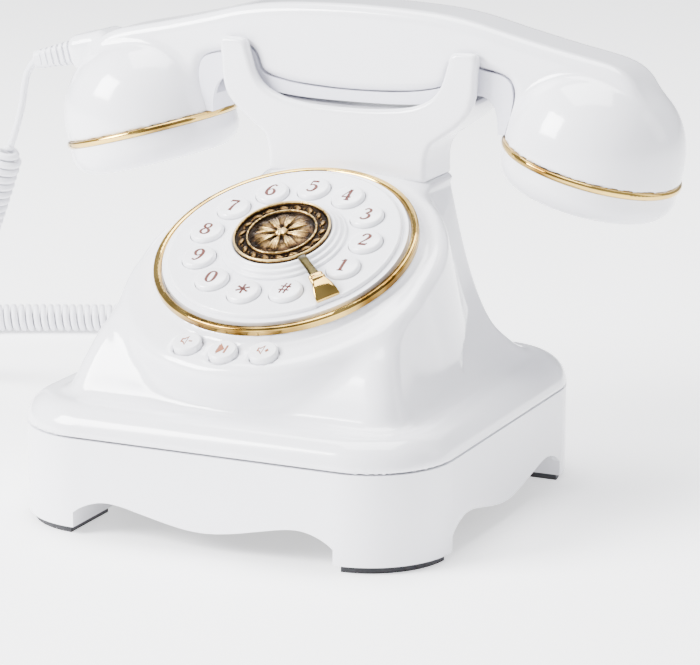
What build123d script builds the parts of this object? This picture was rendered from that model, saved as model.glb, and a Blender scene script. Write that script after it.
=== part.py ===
from build123d import *
import os
from math import cos, pi, radians, sin, tan

# A retro desk telephone with push keys set in a circle: square base on four legs, flared
# housing with a tilted dial lobe, cradle with four prongs, handset and curly cord.
# Millimetres. X to the right, -Y to the front, Z up. The origin is the centre of the
# square base on the surface that the telephone stands on.

# ---- driving dimensions: base ----
BASE_HALF = 79.0
BASE_CORNER = 30.0
SKIRT_WALL = 2.5
FOOT_THICKNESS = 2.6
FOOT_INSET = 2.0
SEAM_Z = 34.0
SEAM_GAP = 0.3
LEG_INNER = 49.0
LEG_FLOOR = 2.5
SCREW_X = 42.0
SCREW_INSET = 9.5
PLATE_Z = 14.6
PLATE_THICKNESS = 2.0
FIT_GAP = 0.3
SHOULDER_TOP = 44.5
SHOULDER_ROUND = 9.5
APRON_DROP_Z = 7.2
APRON_ARCH_Z = 12.8
APRON_SIDE_Z = 8.0

# ---- driving dimensions: housing ----
HOUSING_WALL = 2.5
NECK_TOP = 108.0
NECK_FRONT = 35.3
# height, half width in front, half width behind, front y, rear y, corner radius
PILLAR_SECTIONS = [
    (42.0, 67.5, 67.5, -64.5, 67.5, 14.0),
    (46.0, 64.0, 59.5, -61.5, 65.5, 12.0),
    (54.0, 61.0, 49.0, -57.5, 64.0, 10.0),
    (65.0, 57.0, 43.0, -50.0, 63.0, 9.0),
    (78.0, 51.0, 38.4, -30.0, 62.2, 8.0),
    (92.0, 42.5, 34.8, 0.0, 61.5, 7.0),
    (97.0, 39.1, 33.7, 11.0, 61.3, 6.5),
    (102.5, 35.2, 32.5, 23.1, 61.0, 5.7),
    (NECK_TOP, 31.3, 31.3, NECK_FRONT, 60.8, 5.0),
]

# ---- driving dimensions: dial, in the dial's own tilted frame ----
DIAL_Y = -13.0
DIAL_Z = 91.6
DIAL_TILT = 25.4
LOBE_TOP = -4.0
LOBE_DEPTH = 40.0
LOBE_RADIUS = 56.0
LOBE_CHIN = 8.5
LOBE_EDGE = 2.5
PLATE_RADIUS = 43.5
PLATE_RIM_TOP = 1.5
PLATE_STEP = PLATE_RADIUS - 2.2
PLATE_TOP = 3.0
RING_INNER = PLATE_RADIUS + 0.7
RING_OUTER = RING_INNER + 2.8
RING_BASE = -1.4
RING_TOP = 1.2
COVE_FOOT = RING_OUTER + 4.0
LEDGE_INNER = PLATE_RADIUS - 5.0
KEY_CIRCLE = 30.0
KEY_RADIUS = 6.0
KEY_TOP = 4.95
KEY_GAP = 0.3
KEY_FLANGE = KEY_RADIUS + 1.0
KEY_FLANGE_THICKNESS = 1.2
KEY_TRAVEL = 1.5
KEY_START = -51.8
KEY_STEP = 28.9
KEY_NAMES = ["key_1", "key_2", "key_3", "key_4", "key_5", "key_6", "key_7", "key_8",
             "key_9", "key_0", "key_star", "key_hash"]
DOME_TOP = -2.95
DOME_BASE = -5.6
BOARD_THICKNESS = 1.6
BOARD_RADIUS = 37.8
HUB_STEPS = [(22.2, 4.1), (20.6, 5.4), (19.0, 6.7)]
MEDALLION_RADIUS = 17.4
MEDALLION_SEAT = 5.6
MEDALLION_TOP = 8.0
STOP_ANGLE = -44.0
STOP_START = MEDALLION_RADIUS + 0.5
STOP_END = 40.0
LEDGE_SCREW_CIRCLE = PLATE_RADIUS - 2.6
LEDGE_SCREW_ANGLES = [0.0, 90.0, 180.0, 270.0]
BOARD_SCREW_CIRCLE = 17.0
BOARD_SCREW_ANGLES = [45.0, 135.0, 225.0, 315.0]

# ---- driving dimensions: function buttons ----
FUNCTION_CIRCLE = 54.0
FUNCTION_ANGLES = [-106.0, -90.5, -75.0]
FUNCTION_NAMES = ["volume_down_button", "play_button", "volume_up_button"]
FUNCTION_RADIUS = 5.0
FUNCTION_PROUD = 2.0
FUNCTION_GAP = 0.25
FUNCTION_FLANGE = FUNCTION_RADIUS + 1.2
FUNCTION_TRAVEL = 1.2

# ---- driving dimensions: cradle ----
HANDSET_Y = 53.0
HANDLE_HALF = 12.5
PRONG_THICKNESS = 4.5
HANDLE_SIDE_GAP = 0.5
CRADLE_FRONT = HANDSET_Y - HANDLE_HALF - HANDLE_SIDE_GAP - PRONG_THICKNESS
CRADLE_REAR = HANDSET_Y + HANDLE_HALF + HANDLE_SIDE_GAP + PRONG_THICKNESS
PEDESTAL_REAR = 60.4
PRONG_TOP = 155.5
PLUNGER_X = 34.0
PLUNGER_RADIUS = 2.0
PLUNGER_FLANGE = 3.2
PLUNGER_TOP = 135.9
PLUNGER_FLANGE_Z = 128.9
PLUNGER_TRAVEL = 3.0
RUNNING_FIT = 0.06
CRADLE_SCREWS = [(-22.0, 48.0), (22.0, 48.0)]
# the valley between the prongs, and the saddle behind it, from the middle outward
PRONG_VALLEY = [(0, 132.8), (12.0, 133.1), (22.0, 134.2), (28.0, 135.8), (33.3, 138.8),
                (36.6, 143.0), (38.8, 149.5), (39.8, PRONG_TOP)]
SADDLE_TOP = [(0, 132.8), (22.0, 133.4), (33.0, 134.6), (40.0, 136.0), (46.0, 137.6),
              (52.0, 138.2)]

# ---- driving dimensions: handset ----
COVER_RECESS = 1.2
HANDSET_WALL = 2.2
CUP_X = 87.6
CUP_Z = 117.3
CUP_TILT = 15.0
CUP_RADIUS = 32.0
CUP_RING = CUP_RADIUS + 0.8
CUP_RING_BORE = CUP_RADIUS - 3.4
RING_HALF = 1.3
CAP_DEPTH = 13.0
CAP_ROUND = 8.0
SEAM_CLEARANCE = 0.12
# top of the handle from its middle to the end over a cup
HANDLE_TOP = [
    (0, 169.2), (26.0, 168.4), (43.0, 166.4), (60.0, 162.3), (CUP_X - 11.6, 158.6),
    (CUP_X + 2.4, 155.7), (CUP_X + 9.9, 153.9), (CUP_X + 15.4, 151.4), (CUP_X + 19.6, 147.4),
    (CUP_X + 22.4, 141.5),
]
# lower edge of the shell: belly, notch over the prong, then down the inside of a cup
SHELL_LOW = [
    (0, 138.4), (20.0, 139.2), (31.0, 140.9), (36.4, 143.4), (39.0, 149.4), (43.0, 151.6),
    (49.0, 149.6), (CUP_X - 32.1, 148.3), (CUP_X - 27.4, 146.2), (CUP_X - 25.6, 141.5),
    (CUP_X - 26.6, 133.0), (CUP_X - 27.2, 127.0),
]
# lower face of the grip cover
COVER_LOW = [
    (0, 134.4), (22.0, 134.9), (33.0, 136.2), (40.0, 137.8), (46.0, 139.45),
    (CUP_X - 37.6, 139.9), (CUP_X - 34.3, 138.4), (CUP_X - 32.3, 135.2), (CUP_X - 31.4, 131.0),
    (CUP_X - 31.2, 126.5),
]
# half section of a cup: radius and height above the ring
CUP_PROFILE = [
    (CUP_RADIUS, RING_HALF + 0.05), (CUP_RADIUS - 0.2, 8.0), (CUP_RADIUS * 0.95, 15.5),
    (CUP_RADIUS * 0.8375, 22.5), (CUP_RADIUS * 0.64375, 28.6), (CUP_RADIUS * 0.375, 32.6),
    (0, 34.2),
]
HANDSET_SCREW_X = [-28.0, 28.0]
POST_FOOT = 145.0
HEAD_SEAT = 139.5

# ---- driving dimensions: cord ----
RELIEF_ROOT = (-CUP_X - 30.4, HANDSET_Y, 143.25)
RELIEF_TIP = (-CUP_X - 49.0, HANDSET_Y, 138.6)
WIRE = 2.8
COIL_OUTER = 12.0
JACK_X = -22.0
JACK_Z = 24.3
JACK_SIZE = (12.0, 14.0, 8.0)
PLUG_SIZE = (7.4, 12.0, 6.2)
PLUG_GAP = 0.25
PLUG_INSET = 9.0
PLUG_PROUD = 3.5
COLLAR_LENGTH = 7.0
LEAD_ROUTE = [
    (-137.5, 53.0, 138.4), (-141.0, 53.0, 134.8), (-142.8, 53.0, 128.1), (-144.0, 53.0, 120.5),
    (-146.5, 53.0, 112.5), (-149.5, 53.0, 104.5),
]
COIL_ROUTE = [
    (-149.5, 53.0, 104.5), (-154.8, 53.0, 90.0), (-162.5, 54.0, 71.0), (-173.5, 57.5, 51.0),
    (-187.0, 64.0, 32.0), (-203.5, 73.0, 16.5), (-220.6, 83.0, 7.6), (-238.9, 102.0, 6.2),
    (-242.4, 128.1, 6.2), (-229.7, 151.1, 6.2), (-205.0, 163.3, 6.2), (-172.0, 177.8, 6.2),
    (-139.0, 190.0, 6.2), (-103.0, 195.0, 6.2), (-69.0, 189.5, 6.2), (-41.0, 170.0, 6.2),
    (-26.0, 143.0, 6.4),
]
BASE_LEAD_ROUTE = [
    (-26.0, 143.0, 6.4), (-22.4, 131.5, 6.8), (-21.2, 120.5, 11.0), (-21.5, 110.0, 18.5),
    (-22.0, 99.5, 24.3), (-22.0, 89.5, 24.3),
]

# ---- driving dimensions: inside the base ----
SPEAKER_X = 30.0
SPEAKER_Y = 20.0
STANDOFF = 2.0
MAIN_BOARD_Y = BASE_HALF - 18.0
MAIN_BOARD_SCREWS = [(-32.0, MAIN_BOARD_Y), (32.0, MAIN_BOARD_Y)]

PARTS = {}


def keep(name, *solids):
    """Files one physical piece, or one group of identical pieces, under its name."""
    found = [solid for shape in solids for solid in shape.solids()]
    PARTS[name] = found[0] if len(found) == 1 else Compound(children=found)


def slab(half_x, half_y, radius, z_low, z_high):
    """A rounded rectangular slab between two heights."""
    outline = RectangleRounded(2 * half_x, 2 * half_y, radius)
    return Pos(0, 0, z_low) * extrude(outline, amount=z_high - z_low)


def tube_between(x, y, radius, z_low, z_high):
    """A solid cylinder along Z between two heights."""
    return Pos(x, y, (z_low + z_high) / 2) * Cylinder(radius, z_high - z_low)


def block(x_low, x_high, y_low, y_high, z_low, z_high):
    """A box from its lowest to its highest corner."""
    middle = Pos((x_low + x_high) / 2, (y_low + y_high) / 2, (z_low + z_high) / 2)
    return middle * Box(x_high - x_low, y_high - y_low, z_high - z_low)


def screw(head_radius, head_height, shank_radius, length):
    """A pan-head screw: head from 0 down, shank from 0 up, with a cross recess."""
    body = tube_between(0, 0, head_radius, -head_height, 0)
    body += tube_between(0, 0, shank_radius, 0, length)
    slot_depth = 0.5 * head_height
    for turn in (0, 90):
        arm = Box(1.3 * head_radius, 0.28 * head_radius, slot_depth)
        body -= Pos(0, 0, -head_height + slot_depth / 2) * Rot(0, 0, turn) * arm
    return body


# ---- frames ----
DIAL = Plane(
    origin=(0, DIAL_Y, DIAL_Z),
    x_dir=(1, 0, 0),
    z_dir=(0, -sin(radians(DIAL_TILT)), cos(radians(DIAL_TILT))),
).location


def on_dial(angle, radius, height=0.0):
    """A place on the dial, by angle from the right, radius and height."""
    return DIAL * Pos(radius * cos(radians(angle)), radius * sin(radians(angle)), height)


def dial_disc(radius, low, high):
    """A disc about the dial's own axis."""
    return DIAL * tube_between(0, 0, radius, low, high)


def cup_frame(side):
    """The frame of a handset cup: its axis leans outward at the top."""
    lean = radians(CUP_TILT)
    return Plane(
        origin=(side * CUP_X, HANDSET_Y, CUP_Z),
        x_dir=(cos(lean), 0, -side * sin(lean)),
        z_dir=(side * sin(lean), 0, cos(lean)),
    ).location


def rear_plane(x, y):
    """A plane behind the base at the sockets' height that faces the front."""
    return Plane(origin=(x, y, JACK_Z), x_dir=(1, 0, 0), z_dir=(0, -1, 0))


# ---- base ----
def apron_cutter():
    """The wavy arch between two legs, as a prism along Y."""
    def half(side):
        return [
            (side * 44.5, APRON_ARCH_Z - 2.0),
            (side * 37.0, APRON_ARCH_Z),
            (side * 27.0, APRON_ARCH_Z - 1.1),
            (side * 17.0, APRON_DROP_Z + 2.3),
        ]
    left = half(-1)
    right = half(1)[::-1]
    wave = Spline(
        (-LEG_INNER, APRON_SIDE_Z), *left, (0, APRON_DROP_Z), *right, (LEG_INNER, APRON_SIDE_Z)
    )
    foot = Polyline(
        (LEG_INNER, APRON_SIDE_Z), (LEG_INNER, -1), (-LEG_INNER, -1), (-LEG_INNER, APRON_SIDE_Z)
    )
    outline = make_face(Plane.XZ * (wave + foot))
    return extrude(outline, amount=BASE_HALF + 5, both=True)


def leg_corners(inset, z_low, z_high):
    """The four rounded corner blocks outside the cross-shaped space under the base."""
    half = BASE_HALF - inset
    corners = slab(half, half, BASE_CORNER - inset, z_low, z_high)
    reach = BASE_HALF + 5
    edge = LEG_INNER + inset
    corners -= block(-edge, edge, -reach, reach, z_low - 1, z_high + 1)
    corners -= block(-reach, reach, -edge, edge, z_low - 1, z_high + 1)
    return corners


def build_base():
    inner_half = BASE_HALF - SKIRT_WALL
    inner_corner = BASE_CORNER - SKIRT_WALL
    skirt = slab(BASE_HALF, BASE_HALF, BASE_CORNER, FOOT_THICKNESS, SEAM_Z)
    skirt -= slab(inner_half, inner_half, inner_corner, PLATE_Z, SEAM_Z + 1)
    edge = LEG_INNER
    below = block(-edge, edge, -inner_half, inner_half, FOOT_THICKNESS - 1, PLATE_Z + 1)
    below += block(-inner_half, inner_half, -edge, edge, FOOT_THICKNESS - 1, PLATE_Z + 1)
    skirt -= below
    skirt -= leg_corners(SKIRT_WALL, FOOT_THICKNESS + LEG_FLOOR, PLATE_Z + 1)
    cutter = apron_cutter()
    skirt -= cutter
    skirt -= Rot(0, 0, 90) * cutter
    # rear wall openings for the cord jack and the charging port
    rear = BASE_HALF - SKIRT_WALL - 1
    skirt -= block(JACK_X - 6.2, JACK_X + 6.2, rear, BASE_HALF + 1, JACK_Z - 4.2, JACK_Z + 4.2)
    port_x = -JACK_X
    port = RectangleRounded(9.6, 3.9, 1.9)
    port_cut = rear_plane(port_x, BASE_HALF + 1) * port
    skirt -= extrude(port_cut, amount=SKIRT_WALL + 3)
    keep("lower_skirt", skirt)

    feet = leg_corners(FOOT_INSET, 0, FOOT_THICKNESS)
    keep("rubber_feet", feet)

    plate_half = inner_half - FIT_GAP
    plate = slab(plate_half, plate_half, inner_corner - FIT_GAP, PLATE_Z, PLATE_Z + PLATE_THICKNESS)
    for x, y in screw_places():
        plate -= tube_between(x, y, 1.8, PLATE_Z - 1, PLATE_Z + PLATE_THICKNESS + 1)
    for x, y in MAIN_BOARD_SCREWS:
        post = tube_between(x, y, 3.0, PLATE_Z, PLATE_Z + PLATE_THICKNESS + STANDOFF)
        plate += post - tube_between(x, y, 1.2, PLATE_Z + 1.0, 40)
    # sound slots under the loudspeaker
    for row in range(-3, 4):
        plate -= block(SPEAKER_X - 14, SPEAKER_X + 14, SPEAKER_Y + row * 5 - 1,
                       SPEAKER_Y + row * 5 + 1, PLATE_Z - 1, PLATE_Z + PLATE_THICKNESS + 1)
    keep("base_plate", plate)

    fixings = [
        Pos(x, y, PLATE_Z) * screw(3.4, 2.0, 1.45, 14.0) for x, y in screw_places()
    ]
    keep("base_screws", *fixings)


def screw_places():
    """Where the four base screws stand."""
    reach = BASE_HALF - SCREW_INSET
    return [(x, y) for x in (-SCREW_X, SCREW_X) for y in (-reach, reach)]


# ---- upper housing ----
def pillar(inset):
    """The flared pillar, wide in front under the dial and narrow at the neck."""
    sections = []
    for z, half_front, half_rear, y_front, y_rear, radius in PILLAR_SECTIONS:
        corners = [
            (-half_front + inset, y_front + inset),
            (half_front - inset, y_front + inset),
            (half_rear - inset, y_rear - inset),
            (-half_rear + inset, y_rear - inset),
        ]
        face = make_face(Polyline(*corners, close=True))
        face = fillet(face.vertices(), radius - inset)
        sections.append(Pos(0, 0, z) * face)
    return loft(sections)


def lobe_outline(inset):
    """The dial lobe's outline: round at the top, with a wider chin for the buttons."""
    points = []
    for angle in range(0, 360, 15):
        below = max(0.0, -sin(radians(angle)) - 0.15) / 0.85
        swell = LOBE_CHIN * below ** 0.6
        radius = LOBE_RADIUS + swell - inset
        points.append((radius * cos(radians(angle)), radius * sin(radians(angle))))
    return make_face(Spline(*points, periodic=True))


def lobe(inset, top):
    """The lobe as a prism that runs down into the pillar and ends at the neck."""
    prism = extrude(lobe_outline(inset), amount=LOBE_DEPTH - inset, dir=(0, 0, -1))
    if inset == 0:
        prism = fillet(prism.faces().sort_by(Axis.Z)[-1].edges(), LOBE_EDGE)
    in_front = block(-100, 100, -100, NECK_FRONT - inset, SEAM_Z + SEAM_GAP, 200)
    return (DIAL * Pos(0, 0, top) * prism) & in_front


def above_dial(height):
    """Everything above one height over the dial."""
    return DIAL * Pos(0, 0, height + 60) * Box(320, 320, 120)


def build_housing():
    shoulder = slab(BASE_HALF, BASE_HALF, BASE_CORNER, SEAM_Z + SEAM_GAP, SHOULDER_TOP)
    rim = shoulder.faces().sort_by(Axis.Z)[-1].edges()
    shoulder = fillet(rim, SHOULDER_ROUND)
    body = pillar(0) & block(-100, 100, -100, 100, SEAM_Z, NECK_TOP)
    outer = shoulder + (body - above_dial(LOBE_TOP)) + lobe(0, LOBE_TOP)
    cove = Cone(COVE_FOOT, RING_OUTER + 0.2, RING_BASE - LOBE_TOP + 0.6)
    outer += DIAL * Pos(0, 0, (RING_BASE + LOBE_TOP - 0.6) / 2) * cove

    wall = HOUSING_WALL
    half = BASE_HALF - wall
    hollow = slab(half, half, BASE_CORNER - wall, SEAM_Z - 1, SHOULDER_TOP - wall + 0.2)
    hollow = fillet(hollow.faces().sort_by(Axis.Z)[-1].edges(), SHOULDER_ROUND - wall)
    inside = pillar(wall) & block(-100, 100, -100, 100, SEAM_Z, NECK_TOP - wall)
    hollow += inside - above_dial(LOBE_TOP - wall)
    hollow += lobe(wall, LOBE_TOP - wall)
    shell = outer - hollow

    # the dial well: a ledge carries the plate and the trim ring
    shell -= dial_disc(LEDGE_INNER, LOBE_TOP - 25, RING_TOP + 10)
    shell -= DIAL * tube_between(0, 0, PLATE_RADIUS + 0.3, RING_BASE, RING_TOP + 10)
    ledge = dial_disc(COVE_FOOT - 2, LOBE_TOP - wall, RING_BASE) - dial_disc(
        LEDGE_INNER, LOBE_TOP - 10, RING_TOP)
    shell += ledge
    for angle in FUNCTION_ANGLES:
        hole = Cylinder(FUNCTION_RADIUS + FUNCTION_GAP, 20)
        shell -= on_dial(angle, FUNCTION_CIRCLE, LOBE_TOP) * hole
    for angle in LEDGE_SCREW_ANGLES:
        shell -= on_dial(angle, LEDGE_SCREW_CIRCLE, LOBE_TOP) * Cylinder(1.25, 12)
    # neck opening for the wires to the hook switches
    shell -= block(-12, 12, 42, 54, NECK_TOP - 10, NECK_TOP + 1)
    for x, y in CRADLE_SCREWS:
        shell -= tube_between(x, y, 1.6, NECK_TOP - 10, NECK_TOP + 1)
    # bosses that take the base screws
    for x, y in screw_places():
        boss = tube_between(x, y, 3.6, PLATE_Z + PLATE_THICKNESS + 0.05, 43.0)
        shell += boss - tube_between(x, y, 1.5, 0, PLATE_Z + PLATE_THICKNESS + 16)
    keep("upper_housing", shell)


# ---- dial ----
def key_angle(index):
    return KEY_START + KEY_STEP * (index + 1)


def build_dial():
    plate = tube_between(0, 0, PLATE_STEP, RING_BASE, PLATE_TOP)
    plate = fillet(plate.edges().sort_by(Axis.Z)[-1], 0.8)
    plate += tube_between(0, 0, PLATE_RADIUS, RING_BASE, PLATE_RIM_TOP)
    # the notch in the rim, past the finger stop's foot
    notch = Pos(STOP_END + 3.3, 0, PLATE_RIM_TOP + 3) * Box(5.6, 10, 6)
    plate = DIAL * (plate - Rot(0, 0, STOP_ANGLE) * notch)
    for index in range(len(KEY_NAMES)):
        hole = Cylinder(KEY_RADIUS + KEY_GAP, 20)
        plate -= on_dial(key_angle(index), KEY_CIRCLE) * hole
    for angle in LEDGE_SCREW_ANGLES:
        plate -= on_dial(angle, LEDGE_SCREW_CIRCLE, RING_BASE) * Cylinder(0.95, 4.4)
    for angle in BOARD_SCREW_ANGLES:
        plate -= on_dial(angle, BOARD_SCREW_CIRCLE, RING_BASE) * Cylinder(0.95, 4.4)
    keep("dial_plate", plate)

    ring_shape = Rectangle(RING_OUTER - RING_INNER, RING_TOP - RING_BASE)
    ring_shape = fillet(ring_shape.vertices().group_by(Axis.Y)[-1], 1.1)
    middle = (RING_OUTER + RING_INNER) / 2
    profile = Plane.XZ * Pos(middle, (RING_TOP + RING_BASE) / 2) * ring_shape
    keep("dial_trim_ring", DIAL * revolve(profile, axis=Axis.Z))

    hub = dial_disc(HUB_STEPS[0][0], PLATE_TOP, HUB_STEPS[0][1])
    for radius, top in HUB_STEPS[1:]:
        hub += dial_disc(radius, PLATE_TOP, top)
    hub -= dial_disc(MEDALLION_RADIUS + 0.1, MEDALLION_SEAT, 20)
    keep("dial_hub", hub)

    medal = tube_between(0, 0, MEDALLION_RADIUS, MEDALLION_SEAT, MEDALLION_TOP)
    medal = fillet(medal.edges().sort_by(Axis.Z)[-1], 0.8)
    keep("dial_medallion", DIAL * medal)

    keep("finger_stop", finger_stop())

    for index, name in enumerate(KEY_NAMES):
        stem = tube_between(0, 0, KEY_RADIUS, RING_BASE - 0.1 - KEY_FLANGE_THICKNESS, KEY_TOP)
        stem = fillet(stem.edges().sort_by(Axis.Z)[-1], 1.2)
        low = RING_BASE - 0.05 - KEY_FLANGE_THICKNESS
        stem += tube_between(0, 0, KEY_FLANGE, low, RING_BASE - 0.05)
        keep(name, on_dial(key_angle(index), KEY_CIRCLE) * stem)

    mat = dial_disc(BOARD_RADIUS, DOME_BASE, DOME_BASE + 0.8)
    mat -= dial_disc(22.0, DOME_BASE - 1, DOME_BASE + 2)
    for index in range(len(KEY_NAMES)):
        dome = Cone(4.6, 2.6, DOME_TOP - DOME_BASE)
        mat += on_dial(key_angle(index), KEY_CIRCLE, (DOME_TOP + DOME_BASE) / 2) * dome
    keep("key_domes", mat)

    board_top = DOME_BASE - 0.02
    board = dial_disc(BOARD_RADIUS, board_top - BOARD_THICKNESS, board_top)
    for angle in BOARD_SCREW_ANGLES:
        board -= on_dial(angle, BOARD_SCREW_CIRCLE, board_top) * Cylinder(1.2, 8)
    keep("key_circuit_board", board)

    posts = []
    for angle in BOARD_SCREW_ANGLES:
        post = tube_between(0, 0, 3.0, board_top + 0.02, RING_BASE - 0.01)
        post -= tube_between(0, 0, 1.2, board_top - 1, RING_BASE + 1)
        posts.append(on_dial(angle, BOARD_SCREW_CIRCLE) * post)
    keep("key_board_spacers", *posts)

    fixings = []
    for angle in LEDGE_SCREW_ANGLES:
        seat = LOBE_TOP - HOUSING_WALL - 0.02
        fixings.append(on_dial(angle, LEDGE_SCREW_CIRCLE, seat) * screw(2.0, 1.4, 0.9, 6.0))
    for angle in BOARD_SCREW_ANGLES:
        seat = board_top - BOARD_THICKNESS - 0.02
        fixings.append(on_dial(angle, BOARD_SCREW_CIRCLE, seat) * screw(2.0, 1.4, 0.9, 7.2))
    keep("dial_screws", *fixings)


def finger_stop():
    """A narrow arm on the hub that widens to a stepped head, bent down at its tip."""
    outline = Polyline(
        (STOP_START, -1.6), (29.5, -1.7), (30.5, -2.5), (33.5, -2.7), (34.3, -3.4),
        (STOP_END + 1, -4.4), (STOP_END + 1, 4.4), (34.3, 3.4), (33.5, 2.7), (30.5, 2.5),
        (29.5, 1.7), (STOP_START, 1.6), close=True,
    )
    plan = extrude(make_face(outline), amount=14)
    seat = HUB_STEPS[2][1] + 0.05
    foot = PLATE_TOP + 0.02
    side = Polyline(
        (STOP_START, seat), (19.0, seat), (25.0, 6.3), (33.0, 5.8), (37.6, 4.8), (38.6, foot),
        (STOP_END, foot), (39.7, 4.9), (36.4, 6.9), (33.0, 7.6), (25.0, 7.7), (19.0, 7.9),
        (STOP_START, 7.9), close=True,
    )
    profile = extrude(Plane.XZ * make_face(side), amount=8, both=True)
    return DIAL * Rot(0, 0, STOP_ANGLE) * (plan & profile)


# ---- function buttons ----
def build_function_buttons():
    flange_top = LOBE_TOP - HOUSING_WALL - 0.05
    for name, angle in zip(FUNCTION_NAMES, FUNCTION_ANGLES):
        cap = tube_between(0, 0, FUNCTION_RADIUS, flange_top - 0.5, LOBE_TOP + FUNCTION_PROUD)
        cap = fillet(cap.edges().sort_by(Axis.Z)[-1], 0.8)
        cap += tube_between(0, 0, FUNCTION_FLANGE, flange_top - 1.2, flange_top)
        keep(name, on_dial(angle, FUNCTION_CIRCLE) * cap)
    dome_top = flange_top - 1.2 - 0.02
    dome_low = dome_top - 2.0
    domes = []
    for angle in FUNCTION_ANGLES:
        dome = Cone(3.6, 2.2, dome_top - dome_low)
        domes.append(on_dial(angle, FUNCTION_CIRCLE, (dome_top + dome_low) / 2) * dome)
    keep("function_domes", *domes)
    board = Pos(0, -FUNCTION_CIRCLE + 1.5, dome_low - 0.02 - BOARD_THICKNESS / 2) * Box(
        36, 9.6, BOARD_THICKNESS)
    keep("function_board", DIAL * board)


# ---- cradle ----
def front_outline(valley):
    """The cradle seen from the front, with the given valley between its prongs."""
    left = [(-x, z) for x, z in valley[::-1]]
    top = Spline(*left, *valley[1:])
    outer = Spline((50.3, PRONG_TOP), (49.6, 141.0), (43.0, 129.2), (33.0, 121.5), (30.8, 116.0))
    x_in = valley[-1][0]
    edges = top + Polyline((x_in, PRONG_TOP), (50.3, PRONG_TOP)) + outer
    edges += Polyline((30.8, 116.0), (30.8, NECK_TOP + 0.05), (-30.8, NECK_TOP + 0.05),
                      (-30.8, 116.0))
    edges += mirror(outer, about=Plane.YZ)
    edges += Polyline((-50.3, PRONG_TOP), (-x_in, PRONG_TOP))
    return edges


def build_cradle():
    depth = CRADLE_REAR - CRADLE_FRONT
    face = make_face(Plane(origin=(0, CRADLE_FRONT, 0), x_dir=(1, 0, 0), z_dir=(0, -1, 0))
                     * front_outline(PRONG_VALLEY))
    body = extrude(face, amount=depth, dir=(0, 1, 0))
    # the saddle between the front and rear prongs
    inside = [(-x, z) for x, z in SADDLE_TOP[:0:-1]] + SADDLE_TOP
    curve = Spline(*inside)
    roof = Polyline(inside[-1], (52.0, 170.0), (-52.0, 170.0), inside[0])
    saddle = make_face(Plane.XZ * (curve + roof))
    gap_low = CRADLE_FRONT + PRONG_THICKNESS
    gap_high = CRADLE_REAR - PRONG_THICKNESS
    body -= Pos(0, gap_low, 0) * extrude(saddle, amount=gap_high - gap_low, dir=(0, 1, 0))
    # behind the pedestal the arms rise to the rear prongs
    below = make_face(Plane.YZ * (
        Spline((PEDESTAL_REAR, 120.0), (61.5, 127.5), (65.5, 131.6), (CRADLE_REAR, 138.5))
        + Polyline((CRADLE_REAR, 138.5), (CRADLE_REAR + 5, 138.5), (CRADLE_REAR + 5, 100.0),
                   (PEDESTAL_REAR, 100.0), (PEDESTAL_REAR, 120.0))))
    body -= extrude(below, amount=60, both=True)
    # hollow pedestal, open to the housing below
    body -= block(-26, 26, 40, 56, NECK_TOP - 1, 128.5) - block(-26, -17, 40, 56, 0, 118) \
        - block(17, 26, 40, 56, 0, 118)
    for x, y in CRADLE_SCREWS:
        body -= tube_between(x, y, 1.25, NECK_TOP - 1, NECK_TOP + 8)
    switch_top = PLUNGER_FLANGE_Z - 1.5
    for side in (-1, 1):
        x = side * PLUNGER_X
        body -= tube_between(x, HANDSET_Y, PLUNGER_RADIUS + RUNNING_FIT, switch_top, 145)
        flange_roof = PLUNGER_FLANGE_Z + 1.0 + PLUNGER_TRAVEL + 0.1
        body -= tube_between(x, HANDSET_Y, PLUNGER_FLANGE + 0.3, switch_top - 2.02, flange_roof)
    keep("cradle", body)

    fixings = [Pos(x, y, NECK_TOP - HOUSING_WALL - 0.02) * screw(3.0, 1.8, 1.2, 9.0)
               for x, y in CRADLE_SCREWS]
    keep("cradle_screws", *fixings)

    switches, springs = [], []
    for side, name in ((-1, "hook_plunger_left"), (1, "hook_plunger_right")):
        x = side * PLUNGER_X
        pin = tube_between(x, HANDSET_Y, PLUNGER_RADIUS, PLUNGER_FLANGE_Z, PLUNGER_TOP)
        pin = fillet(pin.edges().sort_by(Axis.Z)[-1], 1.2)
        pin += tube_between(x, HANDSET_Y, PLUNGER_FLANGE, PLUNGER_FLANGE_Z,
                            PLUNGER_FLANGE_Z + 1.0)
        keep(name, pin)
        coil = tube_between(x, HANDSET_Y, 2.8, switch_top + 0.02, PLUNGER_FLANGE_Z - 0.02)
        springs.append(coil - tube_between(x, HANDSET_Y, 2.1, 0, 200))
        switches.append(tube_between(x, HANDSET_Y, PLUNGER_FLANGE + 0.25, switch_top - 2.0,
                                     switch_top))
    keep("hook_springs", *springs)
    keep("hook_switches", *switches)


# ---- handset ----
def both_sides(points):
    """A curve's points, given from the middle outward, for both halves."""
    return [(-x, z) for x, z in points[:0:-1]] + points


def handset_cup(side, inset):
    """The dome of one cup about its own axis, closed at the ring."""
    profile = [(max(radius - inset, 0), height - inset * (radius < CUP_RADIUS))
               for radius, height in CUP_PROFILE]
    base = profile[0][1]
    curve = Spline(*profile, tangents=((0, 1), (-1, 0)))
    edges = curve + Polyline(profile[-1], (0, base), profile[0])
    return cup_frame(side) * revolve(make_face(Plane.XZ * edges), axis=Axis.Z)


def handle_prism(top, low, half_width):
    """The handle's side outline between two curves, as thick as the handle is."""
    upper = both_sides(top)
    lower = both_sides(low)
    edges = Spline(*upper) + Spline(*lower)
    edges += Polyline(upper[-1], lower[-1]) + Polyline(upper[0], lower[0])
    face = make_face(Plane.XZ * edges)
    return Pos(0, HANDSET_Y, 0) * extrude(face, amount=half_width, both=True)


def shifted(points, drop):
    return [(x, z + drop) for x, z in points]


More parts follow.
